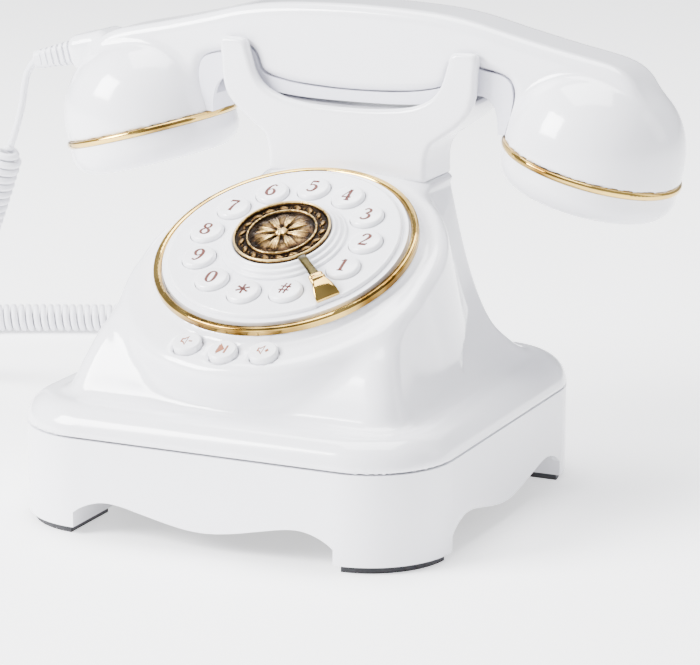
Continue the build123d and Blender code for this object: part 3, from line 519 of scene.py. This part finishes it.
def shoulder_field(x, y, z):
    qx, qy = np.abs(x) - (BASE_HALF - BASE_CORNER), np.abs(y) - (BASE_HALF - BASE_CORNER)
    flat = np.sqrt(np.maximum(qx, 0) ** 2 + np.maximum(qy, 0) ** 2) + np.minimum(
        np.maximum(qx, qy), 0) - BASE_CORNER
    return round_both(flat, z - SHOULDER_TOP, SHOULDER_ROUND)


def housing_outside(x, y, z):
    body = smooth_min(pillar_field(x, y, z), lobe_field(x, y, z), 5.0)
    return smooth_min(body, shoulder_field(x, y, z), 3.0)


def housing_field(x, y, z):
    body = housing_outside(x, y, z)
    u, v, h = dial_coords(x, y, z)
    r = np.sqrt(u ** 2 + v ** 2)
    # the well behind the dial plate, the seat of the plate and ring, the button pockets
    body = np.maximum(body, -np.maximum(r - WELL_RADIUS, -WELL_DEPTH - h))
    body = np.maximum(body, -np.maximum(r - PLATE_SEAT_RADIUS, -PLATE_SEAT - h))
    pocket = np.maximum(np.maximum(np.abs(u) - 18.3, np.abs(v + 52.5) - 5.0), np.abs(h + 11) - 3.6)
    body = np.maximum(body, -pocket)
    for angle in BUTTON_ANGLES:
        across, up = round_place(BUTTON_CIRCLE, angle)
        hole = np.sqrt((u - across) ** 2 + (v - up) ** 2) - 5.3
        body = np.maximum(body, -np.maximum(hole, -14.0 - h))
    return np.maximum(body, SEAM_TOP - z)


def build_housing():
    verts, faces = field_mesh(housing_field, (-80.5, -80.5, 32.9), (80.5, 80.5, 114.0), 1.25)
    return mesh_object("smooth_housing", verts, faces, WHITE, "base")


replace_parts(build_housing(), "upper_housing")

# ---------------------------------------------------------------- dial
HUB_SEAT, MEDALLION_SEAT, MEDALLION_RADIUS = 3.02, 5.6, 17.4
KEY_CIRCLE, KEY_TOP, STOP_ANGLE = 30.0, 4.95, -44.0
KEY_ANGLES = {name: -51.8 + 28.9 * (index + 1) for index, name in enumerate(KEY_NAMES)}


def on_dial(points):
    """Points given across, up and above the dial, in the model's millimetres."""
    points = np.asarray(points, float)
    across = np.array([1.0, 0.0, 0.0])
    return (DIAL_PLACE + points[:, :1] * across + points[:, 1:2] * DIAL_V
            + points[:, 2:3] * DIAL_N)


def arc(radius, height, bend, start, end, count=5):
    """Points round a quarter of an edge, as pairs of radius and height."""
    return [(radius + bend * math.cos(math.radians(start + (end - start) * i / count)),
             height + bend * math.sin(math.radians(start + (end - start) * i / count)))
            for i in range(count + 1)]


def lathe(profile, centre=(0.0, 0.0), sides=96):
    """A profile of radii and heights turned about an axis that stands on the dial."""
    verts = []
    for radius, height in profile:
        for k in range(sides):
            a = 2 * math.pi * k / sides
            verts.append((centre[0] + radius * math.cos(a), centre[1] + radius * math.sin(a),
                          height))
    return on_dial(verts), ring_faces(len(profile), sides)


def crisp(obj, angle=40):
    obj.data.set_sharp_from_angle(angle=math.radians(angle))
    return obj


def build_hub():
    profile = [(0.5, HUB_SEAT), (22.2, HUB_SEAT), (22.2, 3.5)]
    profile += arc(21.6, 3.5, 0.6, 0, 90)
    profile += arc(21.2, 4.7, 0.6, 270, 180, 3)
    profile += arc(20.0, 4.8, 0.6, 0, 90)
    profile += arc(19.6, 6.0, 0.6, 270, 180, 3)
    profile += arc(18.3, 6.0, 0.7, 0, 90)
    profile += [(17.9, 6.7), (17.55, 6.4), (17.5, MEDALLION_SEAT), (0.5, MEDALLION_SEAT)]
    verts, faces = lathe(profile)
    return crisp(mesh_object("soft_hub", verts, faces, WHITE, "base"))


def medallion_relief(r, a):
    """The medallion's height over its seat: rims, a band of leaves and a rosette."""
    def step(low, high):
        t = np.clip((r - low) / (high - low), 0, 1)
        return t ** 2 * (3 - 2 * t)
    height = 0.9 + 1.3 * (step(16.2, 16.7) - step(17.2, 17.4) * 0.6)
    height = height + 0.95 * (step(11.7, 12.0) - step(12.5, 12.8))
    # the band: pairs of leaves with a bead between them
    turn = (a * 18 / math.pi) % 2 - 1
    along = (r - 14.4) / 1.35
    leaf = np.clip(1 - (np.abs(turn - 0.35 * along) / 0.62) ** 2 - along ** 2, 0, 1)
    bead = np.clip(1 - (np.abs(np.abs(turn) - 1) / 0.22) ** 2 - ((r - 14.4) / 0.45) ** 2, 0, 1)
    height = height + 0.75 * np.sqrt(leaf) + 0.6 * np.sqrt(bead)
    # the rosette: eight petals over eight leaves, round a domed heart
    inner = np.clip((r - 1.5) / 8.6, 0, 1)
    petal = np.clip(np.abs(np.cos(4 * a)) - 0.35 - 0.4 * inner, 0, 1) * np.sin(math.pi * inner)
    under = np.clip(np.abs(np.sin(4 * a)) - 0.45, 0, 1) * np.sin(
        math.pi * np.clip((r - 4) / 7.2, 0, 1))
    vein = 0.12 * np.clip(1 - np.abs(np.sin(4 * a)) * r / 0.5, 0, 1) * (petal > 0.05)
    height = height + 1.55 * np.sqrt(np.clip(petal, 0, 1)) + 0.9 * np.sqrt(under) - vein
    heart = np.sqrt(np.clip(1 - (r / 2.5) ** 2, 0, 1))
    height = np.maximum(height, 0.9 + 1.45 * heart * (1 - 0.12 * np.cos(6 * a) * (r > 0.9)))
    return np.minimum(height, 2.38)


def build_medallion():
    rings, sides = 130, 432
    radii = np.linspace(0.12, MEDALLION_RADIUS, rings)
    angles = np.arange(sides) * 2 * math.pi / sides
    r, a = np.meshgrid(radii, angles, indexing="ij")
    seat = MEDALLION_SEAT + 0.02
    h = seat + medallion_relief(r, a)
    flat = np.stack([r * np.cos(a), r * np.sin(a), h], axis=-1).reshape(-1, 3)
    foot = np.stack([r[-1] * np.cos(a[-1]), r[-1] * np.sin(a[-1]), np.full(sides, seat)],
                    axis=-1)
    # the rings run outward and down, so each face is turned over about its first corner
    faces = [face[:1] + face[:0:-1] for face in ring_faces(rings + 1, sides)]
    verts = on_dial(np.vstack([flat, foot]))
    return mesh_object("relief_medallion", verts, faces, MEDALLION, "base")


def bronze():
    """Old bronze: dark in the recesses and gold on the worn tops, by height over the dial."""
    mat, shader = new_material("antique_bronze", (0.5, 0.4, 0.2), 0.3, metallic=1.0)
    tree = mat.node_tree
    dot = tree.nodes.new("ShaderNodeVectorMath")
    dot.operation = "DOT_PRODUCT"
    dot.inputs[1].default_value = tuple(DIAL_N)
    tree.links.new(coords(tree), dot.inputs[0])
    height = tree.nodes.new("ShaderNodeMapRange")
    seat = float(DIAL_PLACE @ DIAL_N) + MEDALLION_SEAT
    height.inputs["From Min"].default_value = (seat + 0.8) * MM
    height.inputs["From Max"].default_value = (seat + 2.3) * MM
    tree.links.new(dot.outputs["Value"], height.inputs["Value"])
    mix = tree.nodes.new("ShaderNodeMath")
    mix.operation = "MULTIPLY_ADD"
    mix.inputs[1].default_value = 0.5
    tree.links.new(noise(tree, 900.0, 4.0), mix.inputs[0])
    tree.links.new(height.outputs["Result"], mix.inputs[2])
    tree.links.new(ramp(tree, mix.outputs["Value"], [
        (0.30, (0.008, 0.005, 0.003)), (0.62, (0.03, 0.016, 0.007)),
        (0.92, (0.22, 0.13, 0.04)), (1.0, (0.60, 0.42, 0.16))]), shader.inputs["Base Color"])
    tree.links.new(spread(tree, noise(tree, 700.0, 3.0), 0.22, 0.42),
                   shader.inputs["Roughness"])
    return mat


MEDALLION = bronze()


def build_key(name):
    """A key's cap: a low crown with a rounded edge, on a straight skirt with a flange."""
    profile = [(0.4, -2.6), (7.0, -2.6), (7.0, -1.5), (6.0, -1.45)]
    profile += arc(4.7, KEY_TOP - 1.55, 1.3, 0, 82, 7)
    profile += [(4.2, KEY_TOP - 0.2), (3.2, KEY_TOP - 0.1), (1.8, KEY_TOP - 0.03),
                (0.4, KEY_TOP)]
    verts, faces = lathe(profile, round_place(KEY_CIRCLE, KEY_ANGLES[name]), 48)
    node = "key_" + name
    return crisp(mesh_object("cap_" + name, verts, faces, KEY_WHITE, node + "_body"))


# a digit is strokes of points: across, up and the stroke's width, in shares of its height
DIGITS = {
    "1": [[(0.33, 0.03, 0.13), (0.33, 0.97, 0.13)], [(0.14, 0.80, 0.04), (0.34, 0.97, 0.07)],
          [(0.16, 0.02, 0.05), (0.52, 0.02, 0.05)]],
    "2": [[(0.09, 0.74, 0.09), (0.17, 0.91, 0.08), (0.33, 0.97, 0.07), (0.49, 0.86, 0.12),
           (0.50, 0.68, 0.13), (0.38, 0.44, 0.09), (0.10, 0.07, 0.05)],
          [(0.08, 0.06, 0.11), (0.53, 0.06, 0.11)], [(0.53, 0.04, 0.04), (0.56, 0.20, 0.04)]],
    "3": [[(0.09, 0.85, 0.07), (0.28, 0.97, 0.07), (0.46, 0.86, 0.11), (0.45, 0.68, 0.12),
           (0.25, 0.54, 0.05)],
          [(0.25, 0.54, 0.05), (0.49, 0.44, 0.10), (0.54, 0.26, 0.13), (0.41, 0.07, 0.09),
           (0.21, 0.03, 0.07), (0.08, 0.15, 0.09)]],
    "4": [[(0.42, 0.97, 0.06), (0.06, 0.30, 0.05)], [(0.05, 0.28, 0.07), (0.60, 0.28, 0.07)],
          [(0.42, 0.97, 0.13), (0.42, 0.03, 0.13)], [(0.27, 0.02, 0.05), (0.57, 0.02, 0.05)]],
    "5": [[(0.16, 0.92, 0.11), (0.52, 0.92, 0.11)], [(0.16, 0.96, 0.05), (0.13, 0.54, 0.05)],
          [(0.13, 0.54, 0.06), (0.31, 0.62, 0.07), (0.50, 0.51, 0.12), (0.54, 0.30, 0.13),
           (0.41, 0.07, 0.09), (0.21, 0.03, 0.07), (0.08, 0.14, 0.09)]],
    "6": [[(0.50, 0.89, 0.08), (0.34, 0.97, 0.06), (0.16, 0.78, 0.10), (0.08, 0.45, 0.13),
           (0.13, 0.17, 0.13), (0.31, 0.03, 0.07), (0.49, 0.14, 0.11), (0.54, 0.33, 0.13),
           (0.45, 0.52, 0.10), (0.31, 0.58, 0.06), (0.14, 0.46, 0.05)]],
    "7": [[(0.08, 0.76, 0.04), (0.09, 0.95, 0.04)], [(0.08, 0.92, 0.11), (0.55, 0.92, 0.11)],
          [(0.55, 0.92, 0.06), (0.37, 0.55, 0.10), (0.27, 0.03, 0.14)]],
    "0": [[(0.31, 0.97, 0.05), (0.13, 0.82, 0.11), (0.08, 0.50, 0.13), (0.13, 0.18, 0.11),
           (0.31, 0.03, 0.05), (0.49, 0.18, 0.11), (0.54, 0.50, 0.13), (0.49, 0.82, 0.11),
           (0.31, 0.97, 0.05)]],
    "8": [[(0.31, 0.97, 0.06), (0.14, 0.87, 0.10), (0.15, 0.66, 0.11), (0.31, 0.54, 0.08),
           (0.50, 0.40, 0.12), (0.53, 0.18, 0.11), (0.31, 0.03, 0.06), (0.09, 0.18, 0.11),
           (0.12, 0.40, 0.10), (0.31, 0.54, 0.07), (0.47, 0.66, 0.10), (0.48, 0.87, 0.09),
           (0.31, 0.97, 0.06)]],
    "star": [[(0.31, 0.90, 0.09), (0.31, 0.10, 0.09)], [(-0.04, 0.70, 0.09), (0.66, 0.30, 0.09)],
             [(-0.04, 0.30, 0.09), (0.66, 0.70, 0.09)]],
    "hash": [[(0.26, 0.92, 0.07), (0.14, 0.06, 0.07)], [(0.50, 0.92, 0.07), (0.38, 0.06, 0.07)],
             [(0.02, 0.64, 0.07), (0.62, 0.64, 0.07)], [(0.00, 0.34, 0.07), (0.60, 0.34, 0.07)]],
}
DIGITS["9"] = [[(0.62 - x, 1.0 - y, w) for x, y, w in stroke] for stroke in DIGITS["6"]]
SPEAKER = [[(0.02, 0.35, 0.07), (0.02, 0.65, 0.07), (0.20, 0.65, 0.07), (0.46, 0.92, 0.07),
            (0.46, 0.08, 0.07), (0.20, 0.35, 0.07), (0.02, 0.35, 0.07)]]
ICONS = {
    "volume_down_button": SPEAKER + [[(0.66, 0.50, 0.08), (0.98, 0.50, 0.08)]],
    "play_button": [[(0.04, 0.90, 0.03), (0.04, 0.10, 0.03)],
                    [(0.10, 0.50, 0.80), (0.66, 0.50, 0.02)],
                    [(0.80, 0.90, 0.10), (0.80, 0.10, 0.10)]],
    "volume_up_button": SPEAKER + [[(0.66, 0.50, 0.08), (0.98, 0.50, 0.08)],
                                   [(0.82, 0.34, 0.08), (0.82, 0.66, 0.08)]],
}


GLYPH_MIDDLE, PRINT_LAYER, STROKE_SHARE = (0.31, 0.5), 0.12, 0.72


def ribbon(stroke, smooth):
    """A stroke's two edges, as pairs of points on its left and right."""
    line = np.array(stroke, float)
    if smooth and len(stroke) > 2:
        line = np.array(smooth_curve(stroke, 5))
    step = np.gradient(line[:, :2], axis=0)
    if not smooth:
        step = np.vstack([line[1:, :2] - line[:-1, :2], line[-1:, :2] - line[-2:-1, :2]])
        if np.allclose(line[0], line[-1]):
            step[-1] = step[0]
        before = np.vstack([step[:1] if not np.allclose(line[0], line[-1]) else step[-2:-1],
                            step[:-1]])
        unit = [v / np.linalg.norm(v, axis=1)[:, None] for v in (before, step)]
        mitre = unit[0] + unit[1]
        mitre /= np.maximum((mitre * unit[1]).sum(axis=1), 0.5)[:, None]
        side = np.stack([-mitre[:, 1], mitre[:, 0]], axis=1)
    else:
        side = np.stack([-step[:, 1], step[:, 0]], axis=1)
        side /= np.linalg.norm(side, axis=1)[:, None]
    reach = side * line[:, 2:3] * STROKE_SHARE
    return line[:, :2] + reach, line[:, :2] - reach


def print_mark(name, strokes, centre, size, height, look, body, smooth=True):
    """A printed figure as a thin raised layer: each stroke is a closed band."""
    verts, faces = [], []
    for stroke in strokes:
        left, right = ribbon(stroke, smooth)
        first, count = len(verts), len(left)
        for a, b in zip(left, right):
            for point in (a, b):
                u = centre[0] + (point[0] - GLYPH_MIDDLE[0]) * size
                v = centre[1] + (point[1] - GLYPH_MIDDLE[1]) * size
                verts += [(u, v, height), (u, v, height + PRINT_LAYER)]
        for i in range(count - 1):
            at = first + 4 * i
            faces += [(at + 1, at + 3, at + 7, at + 5), (at, at + 4, at + 6, at + 2),
                      (at, at + 1, at + 5, at + 4), (at + 2, at + 6, at + 7, at + 3)]
        end = first + 4 * (count - 1)
        faces += [(first, first + 2, first + 3, first + 1), (end, end + 1, end + 3, end + 2)]
    return mesh_object(name, on_dial(verts), faces, look, body, smooth=False)


def build_finger_stop():
    """The stop: a slim arm, two collars and a flared head that bends down to the plate."""
    # distance from the dial's axis, half width, lower and upper height
    arm = [(17.9, 1.0, 6.9, 7.7), (18.3, 1.5, 6.78, 7.95), (21.0, 1.5, 6.6, 7.95),
           (25.0, 1.45, 6.3, 7.8), (28.0, 1.6, 6.1, 7.7), (30.4, 1.9, 6.0, 7.6)]
    head = [(30.2, 2.3, 5.8, 7.7), (30.5, 2.6, 5.6, 7.9), (31.3, 2.6, 5.6, 7.9),
            (31.6, 2.3, 5.7, 7.6), (31.9, 2.3, 5.7, 7.6), (32.2, 2.8, 5.5, 7.8),
            (33.0, 2.8, 5.4, 7.8), (33.3, 2.5, 5.5, 7.5), (34.6, 3.0, 5.3, 7.2),
            (36.6, 3.7, 4.6, 6.5), (38.6, 4.2, 3.6, 5.4), (40.0, 4.4, 3.06, 4.3),
            (40.4, 4.2, 3.06, 3.7)]
    a = math.radians(STOP_ANGLE)
    sides = 20
    for name, rows, look in (("stop_arm", arm, STOP_ARM), ("stop_head", head, GOLD)):
        verts = []
        for reach, half, low, high in rows:
            for k in range(sides):
                t = 2 * math.pi * k / sides
                c, s = math.cos(t), math.sin(t)
                across = half * math.copysign(abs(c) ** 0.45, c)
                up = (low + high) / 2 + (high - low) / 2 * math.copysign(abs(s) ** 0.55, s)
                verts.append((reach * math.cos(a) - across * math.sin(a),
                              reach * math.sin(a) + across * math.cos(a), up))
        piece = mesh_object(name, on_dial(verts), ring_faces(len(rows), sides), look, "base")
        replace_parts(crisp(piece, 50), "finger_stop")


STOP_ARM = metal("stop_arm_metal", (0.075, 0.06, 0.022), 0.26)
DIGIT_SIZE, ICON_SIZE, BUTTON_TOP = 6.3, 5.0, -2.02
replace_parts(build_hub(), "dial_hub")
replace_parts(build_medallion(), "dial_medallion")
build_finger_stop()
for key_name, key_angle in KEY_ANGLES.items():
    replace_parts(build_key(key_name), "key_" + key_name)
    digit = print_mark("digit_" + key_name, DIGITS[key_name], round_place(KEY_CIRCLE, key_angle),
                       DIGIT_SIZE, KEY_TOP - 0.10, COPPER, "key_%s_body" % key_name,
                       key_name not in ("hash", "4"))
for (button, strokes), angle in zip(ICONS.items(), BUTTON_ANGLES):
    narrow = [[(x * 0.8 - 0.05, y, w) for x, y, w in stroke] for stroke in strokes]
    icon = print_mark("icon_" + button, narrow, round_place(BUTTON_CIRCLE, angle), ICON_SIZE,
                      BUTTON_TOP, ROSE_GOLD, button + "_body", False)

# ---------------------------------------------------------------- cradle
VALLEY = [(0, 132.8), (12.0, 133.1), (22.0, 134.2), (28.0, 135.8), (33.3, 138.8),
          (36.6, 143.0), (38.8, 149.5), (39.8, 153.4)]
PRONG_TIP = [(41.0, 155.0), (43.5, 155.5), (47.5, 155.5), (49.6, 155.2), (50.4, 153.6)]
FLANK = [(49.9, 147.0), (49.5, 141.0), (47.6, 134.6), (43.0, 129.2), (37.4, 124.9),
         (33.0, 121.5), (31.2, 117.0), (30.9, 112.0), (31.0, 108.05)]
SADDLE = [(0, 132.8), (22.0, 133.4), (33.0, 134.6), (40.0, 136.0), (46.0, 137.6),
          (52.0, 138.2)]
UNDERSIDE = [(60.4, 107.0), (60.4, 120.0), (61.5, 127.5), (65.5, 131.6), (70.5, 138.5)]


def mirrored(points):
    """Half an outline and its mirror image, from left to right."""
    return [(-x, z) for x, z in points[::-1] if x > 0] + list(points)


def mirror_image(points):
    return [(-x, z) for x, z in points[::-1]]


TIP_CURVE = smooth_curve([VALLEY[-1]] + PRONG_TIP, 3)
FLANK_CURVE = smooth_curve([PRONG_TIP[-1]] + FLANK, 4)
FRONT_OUTLINE = (smooth_curve(mirrored(VALLEY), 5)[:-1] + TIP_CURVE[:-1] + FLANK_CURVE
                 + mirror_image(FLANK_CURVE) + mirror_image(TIP_CURVE)[1:-1])
CRADLE_Y, CRADLE_HALF, GAP_HALF = 53.0, 17.5, 13.0
PLUNGER_X, PLUNGER_HOLE, PLUNGER_POCKET = 34.0, 2.3, 3.75
PLUNGER_FLOOR, POCKET_MIDDLE, POCKET_HALF = 127.0, 129.25, 4.0


def cradle_field(x, y, z):
    front = outline_distance(x, z, FRONT_OUTLINE)
    depth = np.abs(y - CRADLE_Y) - CRADLE_HALF
    body = round_both(front, depth, 1.8)
    saddle_top = np.interp(np.abs(x), [p[0] for p in SADDLE], [p[1] for p in SADDLE])
    gap = np.maximum(np.abs(y - CRADLE_Y) - GAP_HALF, saddle_top - z)
    body = smooth_max(body, -gap, 1.2)
    rear = np.interp(z, [p[1] for p in UNDERSIDE], [p[0] for p in UNDERSIDE])
    return smooth_max(body, (y - rear) * 0.8, 1.5)


def build_cradle():
    def field(x, y, z):
        hollow = np.maximum(np.maximum(np.abs(x) - 26, np.abs(y - 48) - 8), z - 128.5)
        body = np.maximum(cradle_field(x, y, z), -hollow)
        for side in (-1, 1):
            r = np.sqrt((x - side * PLUNGER_X) ** 2 + (y - CRADLE_Y) ** 2)
            body = np.maximum(body, -np.maximum(r - PLUNGER_HOLE, PLUNGER_FLOOR - z))
            pocket = np.maximum(r - PLUNGER_POCKET, np.abs(z - POCKET_MIDDLE) - POCKET_HALF)
            body = np.maximum(body, -pocket)
        return np.maximum(body, NECK_TOP + 0.05 - z)
    verts, faces = field_mesh(field, (-52, 34.6, 107.2), (52, 71.6, 156.6), 1.0)
    return mesh_object("smooth_cradle", verts, faces, WHITE, "base")


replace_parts(build_cradle(), "cradle")

# ---------------------------------------------------------------- handset
HANDLE_TOP = [(0, 169.2), (26.0, 168.4), (43.0, 166.4), (60.0, 162.3), (76.0, 158.6),
              (90.0, 155.7), (97.5, 153.9), (103.0, 151.4), (107.2, 147.4), (110.0, 141.5)]
SHELL_LOW = [(0, 138.4), (20.0, 139.2), (31.0, 140.9), (36.4, 143.4), (39.0, 149.4),
             (43.0, 151.6), (49.0, 149.6), (55.5, 148.3), (60.2, 146.2), (62.0, 141.5),
             (61.0, 133.0), (60.4, 127.0)]
HANDLE_Y, HANDLE_HALF = 53.0, 12.5
CUP_X, CUP_Z, CUP_TILT = 87.6, 117.3, math.radians(15.0)
CUP_RADIUS, CUP_HEIGHT, RING_TOP = 32.0, 34.2, 1.35
HANDLE_END, HANDLE_END_LOW = 110.0, 127.0
RELIEF_ROOT, RELIEF_TIP = np.array([-118.0, 53.0, 143.25]), np.array([-136.6, 53.0, 138.6])
RELIEF_AXIS = (RELIEF_TIP - RELIEF_ROOT) / np.linalg.norm(RELIEF_TIP - RELIEF_ROOT)
UPPER = smooth_curve(mirrored(HANDLE_TOP), 5)
LOWER = smooth_curve(mirrored(SHELL_LOW), 5)
SIDE_OUTLINE = (UPPER + [(HANDLE_END, HANDLE_END_LOW)] + LOWER[::-1]
                + [(-HANDLE_END, HANDLE_END_LOW)])


def cup_coords(x, z, side):
    c, s = math.cos(CUP_TILT), math.sin(CUP_TILT)
    x0, z0 = x - side * CUP_X, z - CUP_Z
    return x0 * c - z0 * side * s, x0 * side * s + z0 * c


def relief_boss_field(x, y, z):
    """The blunt end of the handle that the strain relief comes out of."""
    along = RELIEF_AXIS[0] * (x - RELIEF_ROOT[0]) + RELIEF_AXIS[2] * (z - RELIEF_ROOT[2])
    across = RELIEF_AXIS[2] * (x - RELIEF_ROOT[0]) - RELIEF_AXIS[0] * (z - RELIEF_ROOT[2])
    flat = round_both(np.abs(y - HANDLE_Y) - 10.0, np.abs(across) - 6.25, 4.5)
    return round_both(flat, np.abs(along + 8.0) - 8.0, 2.5)


def handset_field(x, y, z):
    body = round_both(outline_distance(x, z, SIDE_OUTLINE), np.abs(y - HANDLE_Y) - HANDLE_HALF,
                      4.0)
    for side in (-1, 1):
        u, w = cup_coords(x, z, side)
        rho = np.sqrt(u ** 2 + (y - HANDLE_Y) ** 2)
        shape = (rho / CUP_RADIUS) ** 2.2 + (np.maximum(w, 0) / CUP_HEIGHT) ** 2.6
        cup = (np.maximum(shape, 1e-9) ** (1 / 2.4) - 1) * CUP_RADIUS
        body = smooth_min(body, cup, 2.2)
    body = smooth_min(body, relief_boss_field(x, y, z), 2.0)
    # each cup is cut flat where its gold ring sits
    for side in (-1, 1):
        w = cup_coords(x, z, side)[1]
        body = np.where(x * side > 50, np.maximum(body, RING_TOP - w), body)
    return body


def build_handset():
    verts, faces = field_mesh(handset_field, (-124.0, 19.5, 107.5), (124.0, 86.5, 171.0), 1.25)
    return mesh_object("smooth_handset", verts, faces, WHITE, "handset")


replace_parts(build_handset(), "handset_shell")


# ---------------------------------------------------------------- floor and lights
floor_mesh = bpy.data.meshes.new("floor")
FLOOR_CORNERS = [(-6, -6, 0), (6, -6, 0), (6, 8, 0), (-6, 8, 0)]
floor_mesh.from_pydata(FLOOR_CORNERS, [], [(0, 1, 2, 3)])
floor = link(bpy.data.objects.new("floor", floor_mesh))
floor_look, floor_shader = new_material("pale_floor", (0.97, 0.97, 0.98), 0.6)
floor_shader.inputs["Emission Color"].default_value = (1.0, 1.0, 1.0, 1.0)
floor_shader.inputs["Emission Strength"].default_value = 0.9
floor.data.materials.append(floor_look)


def area_light(name, place, target, size, power):
    data = bpy.data.lights.new(name, "AREA")
    data.shape = "RECTANGLE"
    data.size, data.size_y = size
    data.energy = power
    lamp = link(bpy.data.objects.new(name, data))
    lamp.location = place
    lamp.rotation_euler = (Vector(target) - Vector(place)).to_track_quat("-Z", "Y").to_euler()
    return lamp


area_light("key", (-1.3, -1.2, 1.2), (0, 0, 0.08), (1.0, 1.0), 165)
area_light("top", (-0.1, 0.2, 1.7), (0, 0, 0.08), (1.2, 1.2), 62)
area_light("rim", (1.4, 0.7, 0.8), (0, 0, 0.1), (0.5, 1.0), 4)
world = scene.world or bpy.data.worlds.new("world")
scene.world = world
world.use_nodes = True
background = world.node_tree.nodes["Background"]
background.inputs["Color"].default_value = (0.90, 0.92, 1.0, 1)
background.inputs["Strength"].default_value = 0.62
